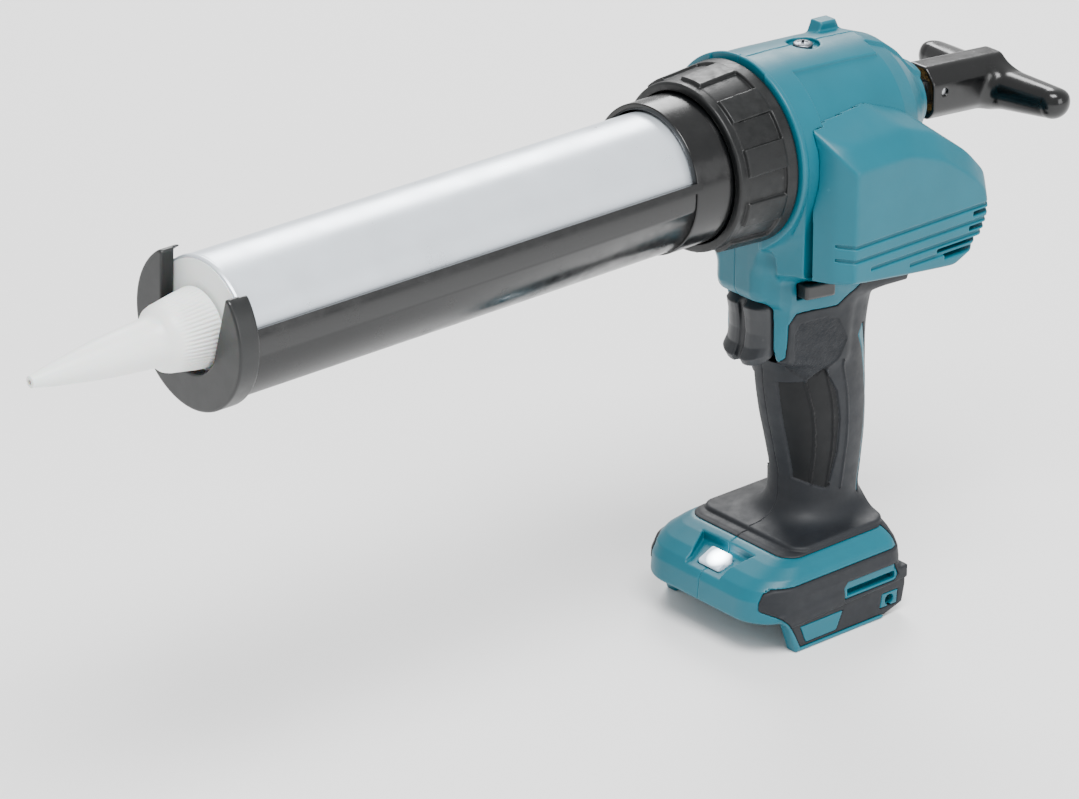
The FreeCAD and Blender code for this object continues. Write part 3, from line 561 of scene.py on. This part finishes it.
def rounded_plan(x, y, front, rear, half, r_front, r_rear):
    """Distance to a rectangle in plan whose front and rear corners have their own radii."""
    middle = (front + rear) / 2
    r = np.where(x < middle, r_front, r_rear)
    u = np.abs(x - middle) - (rear - front) / 2 + r
    v = np.abs(y) - half + r
    return np.hypot(np.maximum(u, 0), np.maximum(v, 0)) + np.minimum(np.maximum(u, v), 0) - r


def base(p):
    x, y, z = p
    front, rear, half, r = (np.interp(z, BASE_Z, v) for v in (BASE_FRONT, BASE_REAR, BASE_HALF, BASE_ROUND))
    d = rounded_plan(x, y, front, rear, half, r, 9.0)
    d = d * np.interp(z, [-172, -164, -160], [1.0, 0.62, 0.5])
    return meet(d, slab(z, -181, -159.4), 1.6)


def skirt(p):
    x, y, z = p
    d = rounded_plan(x, y, 10.4, 58.2, 28.0, 6.5, 8.0)
    return meet(d, slab(z, -162, -157.9), 1.6)


def wings(p):
    x, y, z = p
    side = polygon(x, z, [(-6, -178), (-1.5, -184), (2.2, -195), (47, -195), (58.5, -191.5), (60, -184),
                          (60, -176)])
    return meet(side, slab(np.abs(y), 31.2, 37.0), 1.2)


def gear_swell(p):
    return rod(p, 1, 21.5, -5, 31.5, (GEAR_X, GEAR_Z), 3.0)


def lug(p):
    x, y, z = p
    return meet(polygon(x, z, [(44, 26), (48.5, 36.4), (56, 36.0), (61, 26)]), slab(y, 6.5, 12.5), 0.8)


def upper(p):
    d = join(barrel(p), belly(p), 6.0)
    d = join(d, guard(p), 4.0)
    d = join(d, cover_mount(p), 7.0)
    return join(join(d, gear_swell(p), 3.0), lug(p), 1.0)


def hull(p):
    """Whole outside of the housing with its soft covers, without the motor cover."""
    foot = join(grip(p), skirt(p), 9.0)
    foot = join(foot, base(p), 0.5)
    foot = join(foot, wings(p), 1.5)
    return join(upper(p), foot, 6.0)


# ---------------------------------------------------------------- motor cover
COVER_SHOULDER = [(10.4, -44), (10.7, 8.4), (15, 10.2), (45, 10.2), (60, 5.0), (78, -7.6), (86.5, -17),
                  (88.6, -28), (86, -38), (80, -46.5), (70, -51), (55, -50.5), (31, -46.5)]
COVER_FACE = [(12.2, -36.5), (12.4, 0.6), (16, 2.4), (44, 1.6), (60.5, -4.8), (76, -16), (82, -23),
              (82.4, -33), (77, -42.6), (68, -47.5), (58, -48.2), (50, -47.8), (28, -43.6)]
COVER_ROOT_GROW = [(-12, -2), (-12, 8.6), (0.5, 9), (-6, 8), (-4, 6), (-3, 3), (-2, 0), (-0.5, -1)]
COVER_ROOT_GROW += [(0, -2)] * (len(COVER_SHOULDER) - len(COVER_ROOT_GROW))


def cover_planes():
    """Planes of the motor cover: its face, the bevels round it and the sides down to the housing."""
    inner = (47, -34, -20)
    planes = [((0, -1, 0), 50.0)]
    n = len(COVER_SHOULDER)
    for i in range(n):
        (ax, az), (bx, bz) = COVER_SHOULDER[i], COVER_SHOULDER[(i + 1) % n]
        (cx, cz) = COVER_FACE[i]
        planes.append(plane_through((ax, -43.5, az), (bx, -43.5, bz), (cx, -50, cz), inner))
        gx, gz = COVER_ROOT_GROW[i]
        planes.append(plane_through((ax, -43.5, az), (bx, -43.5, bz), (ax + gx, -26, az + gz), inner))
    return planes


COVER_PLANES = cover_planes()
COVER_GROOVES = [(11, 90, -27.6), (11, 90, -33.2), (23, 88, -37.9), (43, 84, -42.0)]      # x range and height
COVER_SLOTS = [(75.5, 95, -30.1), (73.5, 95, -35.6), (57, 92, -40.4), (61, 90, -43.6)]


def cover_form(p):
    d = convex(p, COVER_PLANES, 0.36)
    return meet(d, p[1] + 20, 0.5)


def motor_bay(p):
    return rod(p, 1, 18.3, -47.2, 0, (GEAR_X, GEAR_Z), 0.5)


def cover_piece(p):
    x, y, z = p
    d = cover_form(p)
    for x0, x1, height in COVER_GROOVES:
        groove = meet(np.hypot(z - height, np.minimum(y + 50.2, 0)) - 0.75, slab(x, x0, x1), 0.6)
        d = carve(d, np.maximum(groove, -d - 0.9), 0.35)
    for x0, x1, height in COVER_SLOTS:
        d = carve(d, block(p, (x0, -60, height - 0.95), (x1, -38, height + 0.95), 0.4), 0.3)
    d = carve(d, hull(p) - 0.07, 0.15)
    return carve(d, motor_bay(p), 0.3)


# ---------------------------------------------------------------- soft covers
GRIP_ZONE = [(4, -87.6), (10.4, -86.9), (13.2, -82.6), (13.9, -74.6), (14.1, -69), (17.6, -65.6), (26, -65.8),
             (36.3, -66.4), (43, -61.4), (49, -56.4), (54, -53.5), (95, -53.5), (95, -160.2),
             (62, -160.2), (60, -164), (60, -200), (56.8, -200),
             (56.4, -172), (55.4, -163.5), (53.5, -160.4), (4, -160.4)]
PANEL_ZONE = [(-14.4, -172.6), (-12.6, -169.8), (-6, -167.2), (62, -167.2), (62, -200), (46.8, -193.4),
              (4.4, -193.4), (1.6, -187.6), (-1.6, -182.0), (-5.2, -178.6), (-12.2, -175.2)]
SLOT_FRAME = [(26.9, -175.6), (28.6, -173.6), (53.6, -173.6), (55.0, -178.4), (53.2, -180.2), (26.9, -180.2)]
HOLE_FRAME = [(47.4, -184.9), (55.4, -184.9), (54.9, -190.6), (46.4, -190.6)]
EMBLEM = [(4.5, -184.8), (26.4, -184.8), (23.2, -191.9), (7.4, -191.9)]
STRIPE = [(51.5, -84), (54, -80.5), (57.6, -92), (60.2, -103), (61.4, -113), (60.4, -125), (58.4, -138),
          (55.2, -151.5), (57.2, -137), (58.7, -124), (59.0, -113), (57.6, -101), (55.0, -91)]


def zone(p):
    """Where the soft covers lie."""
    x, y, z = p
    grips = polygon(x, z, GRIP_ZONE)
    stripe = meet(polygon(x, z, STRIPE) - 0.35, 6.0 - np.abs(y), 0.4)
    grips = carve(grips, stripe, 0.4)
    panel = meet(polygon(x, z, PANEL_ZONE), 30.0 - np.abs(y), 0.5)
    for frame_outline in (SLOT_FRAME, HOLE_FRAME, EMBLEM):
        panel = carve(panel, polygon(x, z, frame_outline), 0.3)
    return np.minimum(grips, panel)


PATCH = [(17.5, -74.5), (20, -71), (31, -71), (36.5, -73), (41.5, -82), (38, -88), (30, -94), (24, -93.6),
         (17.8, -88)]
PANEL = [(14.4, -97.3), (25.0, -96.8), (33.0, -92.6), (39.5, -104), (41.8, -116), (41.6, -130), (38, -144.6),
         (33, -142.6), (25.4, -138.5), (22.3, -123), (18.2, -112)]
RIBS = [[(25.2, -95.6), (29.8, -110.6), (32.0, -127.2), (31.8, -142)],
        [(33.6, -92.6), (38.0, -106.6), (39.8, -125.6), (37.8, -144.4)],
        [(41.5, -91), (45.2, -106), (46.4, -125), (44.0, -146)]]


def curve_distance(px, py, points):
    best = np.full(px.shape, 1e9, np.float32)
    for (ax, ay), (bx, by) in zip(points, points[1:]):
        ex, ey = bx - ax, by - ay
        t = np.clip(((px - ax) * ex + (py - ay) * ey) / (ex * ex + ey * ey), 0, 1)
        best = np.minimum(best, np.hypot(px - ax - ex * t, py - ay - ey * t))
    return best


SMOOTH_RIBS = [softened(r, 6.0, closed=False) for r in RIBS]


def patch(p):
    return meet(polygon(p[0], p[2], PATCH) - 1.0, 6.0 - np.abs(p[1]), 0.3)


def panel(p):
    return meet(polygon(p[0], p[2], PANEL) - 0.3, 6.0 - np.abs(p[1]), 0.3)


def soft_cover(p):
    x, y, z = p
    outside = hull(p)
    surface = outside - 0.25
    surface = np.where(patch(p) < 0, surface + 0.35, surface)
    sunk = surface + 0.75
    surface = join(sunk, carve(surface, panel(p), 0.3), 0.15)
    for rib in SMOOTH_RIBS:
        line = meet(curve_distance(x, z, rib) - 0.45, 6.0 - np.abs(y), 0.2)
        surface = join(surface, meet(surface - 0.55, line, 0.2), 0.25)
    step = np.maximum(z + 183.2 - 0.045 * (x - 5), 30 - np.abs(y))
    surface = np.minimum(surface + 0.6, carve(surface, step, 0.2))
    d = meet(surface, zone(p) + 0.12, 0.7)
    return carve(np.maximum(d, -(outside + SOFT_DEPTH)), trigger_room(p), 0.3)


# ---------------------------------------------------------------- housing halves
def trigger_room(p):
    """Room that the trigger needs over its whole pull."""
    return np.minimum(block(p, (-10, -12.2, -87.4), (18, 12.2, -60.4), 1.2),
                      block(p, (10, -12.2, -83.2), (31, 12.2, -60.4)))


def hollows(p):
    """Room inside the housing for the drive, the rod, the controls and the battery."""
    x, y, z = p
    rooms = [block(p, (26, -12.5, -40), (68, 24.5, 10)), motor_bay(p),
             rod(p, 0, 31.1, -30, 6.2), rod(p, 0, 10.6, 0, 100),
             trigger_room(p),
             block(p, (16.6, -60, -59.6), (32.4, 60, -52.6), 0.6),
             block(p, (14, -11, -88), (44, 11, -52)),
             block(p, (60, -4, -66), (90, 4, -43), 1.0),
             block(p, (-40, -31, -200), (55.6, 31, -181.0), 0.6),
             block(p, (8, -25, -190), (45, 25, -175.8)),
             block(p, (-10.5, -6.2, -169.4), (-1.9, 6.2, -158), 0.8), led_recess(p),
             rod(p, 2, 6.3, 32.2, 60, (33, 0), 0.8), rod(p, 2, 2.3, 20, 50, (33, 0))]
    slots = block((x, np.abs(y), z), (28.4, 32.6, -179.4), (53.4, 60, -176.4), 0.4)
    hooks = rod((x, np.abs(y), z), 1, 2.2, 30, 60, (51.0, -188.0))
    return union(*rooms, slots, hooks)


def led_recess(p):
    """Shallow wedge cut round the light."""
    x, y, z = p
    plan = polygon(x, np.abs(y), [(-30, 0), (-30, 9), (-9.5, 10), (0.5, 14.5), (0.8, 7.0), (0.8, 0)])
    floor = (z + 166.6) - 0.30 * (x + 4)
    return meet(plan, -floor, 0.6)


SCREW_PLACES = [(16, 22, 25), (72, 12, 20), (72, -36, 18), (12, -45, 14), (55, -96, 9.5), (32, -128, 9.5),
                (52, -165, 26), (2, -172, 24)]


SEAM_GAP = 0.07          # from the middle plane to each half
SOFT_BED = 2.2           # how deep the halves are cut away for the soft covers
SOFT_DEPTH = 2.1         # how deep the soft covers reach in their beds
LEDGE_SINK = 0.35        # of the bare frames and the emblem plate on the foot's sides


def screw_wells(p):
    """Wells of the eight housing screws, open to the right side."""
    return union(*[rod(p, 1, 3.7, y, 60, (x, z)) for x, z, y in SCREW_PLACES])


def half(p, side):
    outside = hull(p)
    d = carve(outside, np.maximum(zone(p), -(outside + SOFT_BED)), 0.25)
    d = carve(d, hollows(p), 0.4)
    ledge = union(*[polygon(p[0], p[2], outline) + 0.2 for outline in (SLOT_FRAME, HOLE_FRAME, EMBLEM)])
    d = carve(d, np.maximum(np.maximum(ledge, 30 - np.abs(p[1])), -(outside + LEDGE_SINK)), 0.2)
    if side > 0:
        d = carve(d, screw_wells(p), 0.3)
    return meet(d, -side * p[1] + SEAM_GAP, 0.25)


def soft_half(p, side):
    d = meet(soft_cover(p), -side * p[1] + 0.03, 0.15)
    return carve(d, screw_wells(p), 0.3) if side > 0 else d


SIDES = (("left", -1), ("right", 1))
HALF_WIDTH = 38.0


def build_housing():
    for hand, side in SIDES:
        y0, y1 = sorted((0.0, side * HALF_WIDTH))
        obj = moulded(f"{hand}_half", lambda p, s=side: half(p, s), (-16, y0, -196), (88, y1, 38), 0.55)
        dress(obj, "teal_plastic")
        place(obj, "housing", [f"housing_{hand}"])
    cover = moulded("motor_shell", cover_piece, (9, -50.5, -56), (89, -18, 20), 0.45)
    dress(cover, "teal_plastic")
    place(cover, "housing", ["motor_cover"])
    for hand, side in SIDES:
        y0, y1 = sorted((0.0, side * HALF_WIDTH))
        obj = moulded(f"soft_{hand}", lambda p, s=side: soft_half(p, s), (-16, y0, -196), (75, y1, -52), 0.5)
        dress(obj, "grip_rubber", "grip_pattern", "grip_panel")
        paint(obj, 1, lambda p: patch(p) + 0.4)
        paint(obj, 2, lambda p: panel(p) + 0.3)
        place(obj, "housing", [f"grip_cover_{hand}"])


# ---------------------------------------------------------------- trigger, lock-off button, handle
def trigger_form(p):
    x, y, z = p
    top, low = -60.9, -86.9
    side = [(6.6, top), (3.4, top - 2.4), (4.4, -68), (5.0, -74), (4.2, -80), (2.0, -84.2), (3.6, low),
            (7, low + 0.6), (11.5, low + 4.6), (21, low + 8), (21, top)]
    lean = np.clip((np.abs(y) - 4) / 7.6, 0, 1) ** 2 * 4.2
    rise = np.clip((np.abs(y) - 3) / 8.5, 0, 1) ** 2 * 2.6 * np.clip((-74 - z) / 8, 0, 1)
    d = meet(polygon(x - lean, z - rise, side), np.abs(y) - 11.3, 2.4) * 0.9
    groove = np.hypot(y, np.maximum(x - polygon_front(z), 0)) - 1.5
    return carve(d, groove, 1.2)


def polygon_front(z):
    """The bottom of the trigger's middle groove: how far back it runs at each height."""
    return np.interp(z, [-87, -80, -74, -66, -60], [3.2, 4.6, 5.4, 5.2, 4.2])


def lock_form(p):
    x, y, z = p
    tilted = z + 56.2 + 0.12 * (x - 24)
    bar = meet(meet(slab(x, 17.0, 32.0), np.abs(tilted) - 3.0, 1.0), np.abs(y) - 22.4, 1.2)
    waist = block(p, (20, -17, -59.5), (29, 17, -53.2), 0.5)
    return np.minimum(bar, waist)


def handle_form(p):
    x, y, z = p
    drop = 3.5 * np.clip((x - 93) / 40, 0, 1)
    zz = z + drop
    planes = [((0, -1, 0), 9.2), ((0, 1, 0), 9.2), ((0, 0, 1), 10.5), ((0, 0, -1), 10.5),
              ((0, 0.77, 0.64), 10.25), ((0, -0.77, 0.64), 10.25),
              ((0, 0.74, -0.67), 11.4), ((0, -0.74, -0.67), 11.4)]
    shank = meet(convex((x, y, zz), planes, 0.5), slab(x, 93.0, 134), 1.0)
    reach = np.clip(np.abs(y) / 31.6, 0, 1)
    radius = 9.3 - 2.5 * reach ** 1.15
    centre_x = 129.8 + 4.6 * reach ** 1.1
    over = np.maximum(np.abs(y) - 31.6, 0)
    around = np.sqrt((x - centre_x) ** 2 + (z + 5.4) ** 2 + over ** 2)
    arms = around - radius
    flat = (z + 5.4) * 0.97 + 0.22 * (x - centre_x) - radius * 0.86
    arms = meet(arms, flat, 3.0)
    d = join(shank, arms * 0.95, 4.5)
    hole = rod(p, 1, 1.6, -20, -8.0, (99.2, 0.5), 0.2)
    bore = block(p, (92, -5.1, -7.6), (118.2, 5.1, 5.1))
    return carve(np.maximum(d, x - 140.6), np.minimum(hole, bore), 0.3)


def lens_form(p):
    """Rectangular light window, its face sloping down towards the front."""
    x, _, z = p
    face = (z + 165.6) - 0.45 * (x + 6.5)
    return meet(block(p, (-10.0, -5.8, -169), (-2.4, 5.8, -150), 0.9), face, 0.5)


def nut_form(p):
    x, y, z = p
    d = rod(p, 1, 3.0, 28.5, 32.0, (51.0, -188.0), 0.3)
    d = np.minimum(d, rod((x, -y, z), 1, 3.0, 28.5, 32.0, (51.0, -188.0), 0.3))
    return carve(d, np.hypot(x - 51.0, z + 188.0) - 1.6, 0.3)


def screw_form(p):
    """Pan head of the top screw with a cross cut in it, over its shank."""
    x, y, z = p
    u = x - 33.0
    r = np.hypot(u, y)
    d = meet(r - 3.75, z - 34.9 + 0.055 * r ** 2, 0.6)
    d = meet(d, 32.3 - z, 0.2)
    arms = meet(np.minimum(np.abs(u + y) * 0.707, np.abs(u - y) * 0.707) - 0.42, r - 2.1, 0.2)
    d = carve(d, np.maximum(arms, 33.2 - z), 0.2)
    return np.minimum(d, rod(p, 2, 1.9, 16.2, 33.0, (33, 0)))


def build_fittings():
    fittings = [
        ("light_window", lens_form, (-11, -6, -169), (-1, 6, -159), 0.3, "led_lens", "clear_lens"),
        ("hook_inserts", nut_form, (47, -33, -192), (55, 33, -184), 0.3, "hook_nuts", "brass"),
        ("cross_screw", screw_form, (29, -4, 16), (37, 4, 35), 0.2, "top_screw", "zinc")]
    for name, field, low, high, step, node_name, slot in fittings:
        obj = moulded(name, field, low, high, step)
        dress(obj, slot)
        place(obj, "housing", [node_name])


def build_controls():
    trigger = moulded("finger_trigger", trigger_form, (0, -12, -88), (22, 12, -60), 0.35)
    dress(trigger, "trigger_plastic")
    place(trigger, "trigger", ["trigger"])
    lock = moulded("lock_slider", lock_form, (16, -23, -61), (33, 23, -52), 0.35)
    dress(lock, "black_satin")
    place(lock, "lock", ["lock_button"])
    handle = moulded("tee_handle", handle_form, (92, -39, -16), (141, 39, 12), 0.45)
    dress(handle, "black_gloss")
    place(handle, "rod", ["pull_handle"])


# ---------------------------------------------------------------- barrel: ring, trough, plate, cartridge
HOLDER_ROLL = 9.7
RING_SECTORS = 20
RING_FRONT, RING_REAR = -26.75, -0.35
PADS_FRONT, PADS_REAR = -23.2, -5.4
PADS_TURN = 90.0          # angle of the middle of the first pad


def ring_form(p):
    x, y, z = p
    r = np.hypot(y, z)
    t = np.clip((x - RING_FRONT) / (RING_REAR - RING_FRONT), 0, 1)
    pitch = 360 / RING_SECTORS
    sector = (np.degrees(np.arctan2(z, y)) - PADS_TURN) / pitch
    wave = np.abs((sector % 2.0) - 1.0) - 0.5                 # distance to a sector's edge, in sectors
    raised = slab_step(wave * math.radians(pitch) * r)
    middle = np.clip(np.minimum(x - PADS_FRONT, PADS_REAR - x) / 0.3, 0, 1)
    outer = 32.3 + 2.9 * t
    low, high = 32.3 + 1.4 * t, 33.5 + 1.6 * t
    edge = np.where(x < -14, 32.3 + 0.6 * t, outer)
    surface = edge * (1 - middle) + (low + (high - low) * raised) * middle
    d = (r - surface) * 0.6
    d = meet(d, slab(x, RING_FRONT, RING_REAR), 1.0)
    lip = rod(p, 0, 29.0, -40, 10)
    socket = rod(p, 0, 31.35, -20.35, 10)
    return carve(d, np.minimum(lip, socket), 0.4)


def slab_step(distance, width=0.35):
    """From 0 to 1 across a step of this width."""
    return np.clip(0.5 + distance / width, 0, 1)


def plate_form(p):
    x, y, z = p
    r = np.hypot(y, z)
    disc = meet(r - 29.5, slab(x, -253.9, -245.2), 0.9)
    disc = carve(disc, rod(p, 0, 28.5, -248.2, -240), 0.2)
    slot = np.minimum(np.hypot(y, z + 0.5) - 15.4,
                      polygon(y, z, [(-15.4, -0.5), (-17.9, 22), (-20, 60), (20, 60), (17.9, 22),
                                     (15.4, -0.5)]))
    disc = carve(disc, slot, 0.8)
    return meet(disc, z - 22.0, 1.0)


def arc_points(radius, start, end, count):
    return [(radius * math.cos(math.radians(a)), radius * math.sin(math.radians(a)))
            for a in np.linspace(start, end, count)]


def swept(name, section, x0, x1, turn, cuts=0.5):
    """Closed (y, z) section drawn out along X, with small chamfers at its ends."""
    section = np.array(section, float)
    middle = section.mean(0)
    stations = [(x0, 0.985), (x0 + cuts, 1.0), (x1 - cuts, 1.0), (x1, 0.985)]
    points, n = [], len(section)
    for x, s in stations:
        points += [(x, *(middle + (q - middle) * s)) for q in section]
    faces = []
    for k in range(len(stations) - 1):
        for i in range(n):
            j = (i + 1) % n
            faces.append((k * n + i, k * n + j, (k + 1) * n + j, (k + 1) * n + i))
    obj = mesh_object(name, turned_x(np.array(points), turn), faces)
    return obj, n, len(stations)


def trough_section():
    """Closed (y, z) section of the open channel, with a bead along each edge."""
    e = 23.7
    outer = arc_points(27.65, e - 8.4, -180 - e + 8.4, 72)
    inner = arc_points(25.8, -180 - e, e, 72)
    bead_steps = [(0, 0.965), (0, 0.995), (1, 1.0), (7.2, 1.0), (7.6, 0.972), (8.4, 0.972)]
    bead_right = [(28.45 * math.cos(math.radians(e - turn)) * s, 28.45 * math.sin(math.radians(e - turn)) * s)
                  for turn, s in bead_steps]
    bead_left = [(-y, z) for y, z in reversed(bead_right)]
    return bead_right[1:] + outer[1:-1] + bead_left[:-1] + inner


def build_holder():
    section = trough_section()
    trough, n, rows = swept("trough_channel", section, -248.2, -41.0, HOLDER_ROLL)
    close_ends(trough, n, rows)
    dress(trough, "black_gloss")
    creased(trough, 40)

    def slanted(x, r, a):
        front = x < -39
        lean = 2.6 * (1 - np.cos(a)) * 0.5
        return np.where(front, x - lean, x), r

    sleeve_profile = softened([(-43.2, 28.4), (-20.1, 28.4), (-20.1, 30.6), (-17.1, 30.6), (-17.1, 25.9),
                               (-43.2, 25.9)], 0.5)
    sleeve = lathed("holder_sleeve", sleeve_profile, 160, slanted, HOLDER_ROLL)
    dress(sleeve, "black_gloss")
    creased(sleeve, 40)
    sleeve.parent = trough
    place(trough, "holder", ["holder_trough"])
    plate = moulded("slotted_plate", plate_form, (-254, -30, -30), (-245, 30, 23), 0.4, HOLDER_ROLL)
    dress(plate, "black_satin")
    place(plate, "holder", ["holder_front_plate"])


def close_ends(obj, n, rows):
    """Caps over the first and last rows of a swept channel."""
    bm = bmesh.new()
    bm.from_mesh(obj.data)
    bm.verts.ensure_lookup_table()
    for row in (0, rows - 1):
        loop = [bm.verts[row * n + i] for i in range(n)]
        edges = [bm.edges.get((loop[i], loop[(i + 1) % n])) for i in range(n)]
        bmesh.ops.triangle_fill(bm, use_beauty=True, edges=[e for e in edges if e])
    bmesh.ops.recalc_face_normals(bm, faces=bm.faces)
    bm.to_mesh(obj.data)
    bm.free()


def build_cartridge():
    tube_profile = softened([(-247.6, 24.3), (-247.6, 25.0), (-246.4, 25.35), (-245.2, 24.95), (-36.0, 24.95),
                             (-32.5, 24.95), (-32.5, 24.3)], 0.4)
    tube = lathed("foil_tube", tube_profile, 180)
    dress(tube, "tube_foil")
    creased(tube, 50)
    place(tube, "holder", ["cartridge_tube"])

    def ribbed(x, r, a):
        on = np.clip((x + 262.5) / 1.5, 0, 1) * np.clip((-250.0 - x) / 1.0, 0, 1) * (r > 11.6)
        return x, r + on * 0.28 * np.sign(np.cos(56 * a)) * np.minimum(1, 2 * np.abs(np.cos(56 * a)))

    outside = [(-320.5, 1.6), (-320.3, 2.1), (-310.5, 4.1), (-301, 5.6), (-292, 7.0), (-282, 8.0),
               (-272, 8.8),
               (-269.4, 9.2), (-268.2, 10.0), (-266.4, 11.7), (-264.6, 12.3), (-262, 12.6), (-260.5, 12.7),
               (-255, 13.6), (-250.2, 14.5), (-249.3, 14.6), (-249.0, 14.3)]
    inside = [(-249.0, 11.0), (-252, 11.0), (-252.2, 9.2), (-262.4, 9.2), (-264, 6.5), (-292, 4.6),
              (-320.5, 1.0)]
    nozzle = lathed("cone_nozzle", outside + inside, 448, ribbed)
    dress(nozzle, "white_plastic")
    creased(nozzle, 50)
    place(nozzle, "nozzle", ["nozzle"])


def build_ring():
    ring = moulded("clamp_ring", ring_form, (-27, -36, -36), (0, 36, 36), 0.4)
    dress(ring, "ring_plastic")
    place(ring, "ring", ["retaining_ring"])


# ---------------------------------------------------------------- carried-over CAD nodes
def dress_frame():
    slots = {part["node"]: part["material_slot"] for part in frame["record"]["subparts"]}
    for name, obj in frame["nodes"].items():
        obj.data.materials.clear()
        obj.data.materials.append(MATERIALS[slots[name]])


# ---------------------------------------------------------------- camera, light, floor
CAMERA_AZIMUTH, CAMERA_ELEVATION, CAMERA_ROLL = -40.702, 24.661, 0.204
CAMERA_DISTANCE = 2069.92
CAMERA_OFFSET = (-72.294, -92.087)
FOCAL_OVER_WIDTH = 5607.75 / 1079


def build_camera():
    a, e, r = (math.radians(v) for v in (CAMERA_AZIMUTH, CAMERA_ELEVATION, CAMERA_ROLL))
    back = Vector((math.sin(a) * math.cos(e), -math.cos(a) * math.cos(e), math.sin(e)))
    right = Vector((math.cos(a), math.sin(a), 0))
    up = back.cross(right)
    right, up = (right * math.cos(r) + up * math.sin(r)), (up * math.cos(r) - right * math.sin(r))
    data = bpy.data.cameras.new("camera")
    data.sensor_width = 36.0
    data.lens = 36.0 * FOCAL_OVER_WIDTH
    data.clip_start, data.clip_end = 0.05, 50
    camera = bpy.data.objects.new("camera", data)
    spot = (back * CAMERA_DISTANCE + right * CAMERA_OFFSET[0] + up * CAMERA_OFFSET[1]) * MM
    turn = Matrix((right, up, back)).transposed().to_4x4()
    camera.matrix_world = Matrix.Translation(spot) @ turn
    bpy.context.scene.collection.objects.link(camera)
    bpy.context.scene.camera = camera


def area_light(name, place_at, look_at, size, power, colour=(1, 1, 1)):
    data = bpy.data.lights.new(name, "AREA")
    data.shape = "RECTANGLE"
    data.size, data.size_y = size
    data.energy = power
    data.color = colour
    lamp = bpy.data.objects.new(name, data)
    lamp.location = place_at
    lamp.rotation_euler = (Vector(look_at) - Vector(place_at)).to_track_quat("-Z", "Y").to_euler()
    bpy.context.scene.collection.objects.link(lamp)


def build_studio():
    floor_z = CAD_BOX[0].z
    mesh = bpy.data.meshes.new("floor")
    reach = 6.0
    mesh.from_pydata([(-reach, -reach, floor_z), (reach, -reach, floor_z), (reach, reach, floor_z),
                      (-reach, reach, floor_z)], [], [(0, 1, 2, 3)])
    floor = bpy.data.objects.new("floor", mesh)
    bpy.context.scene.collection.objects.link(floor)
    floor.data.materials.append(finish_material("floor_paper", (0.9, 0.9, 0.9), 0.8, 0.03, 0.005, 3))
    world = bpy.data.worlds.new("studio")
    bpy.context.scene.world = world
    world.use_nodes = True
    world.node_tree.nodes["Background"].inputs["Color"].default_value = (1, 1, 1, 1)
    world.node_tree.nodes["Background"].inputs["Strength"].default_value = 0.95
    target = (-0.05, 0, -0.06)
    area_light("key", (-0.35, -0.75, 1.7), target, (1.1, 0.9), 58)
    area_light("side", (0.35, -1.9, 0.45), target, (0.9, 0.9), 12)
    area_light("rim", (0.9, 1.1, 1.0), target, (0.8, 0.8), 26)


def build():
    dress_frame()
    build_housing()
    build_fittings()
    build_controls()
    build_ring()
    build_holder()
    build_cartridge()
    build_camera()
    build_studio()


build()
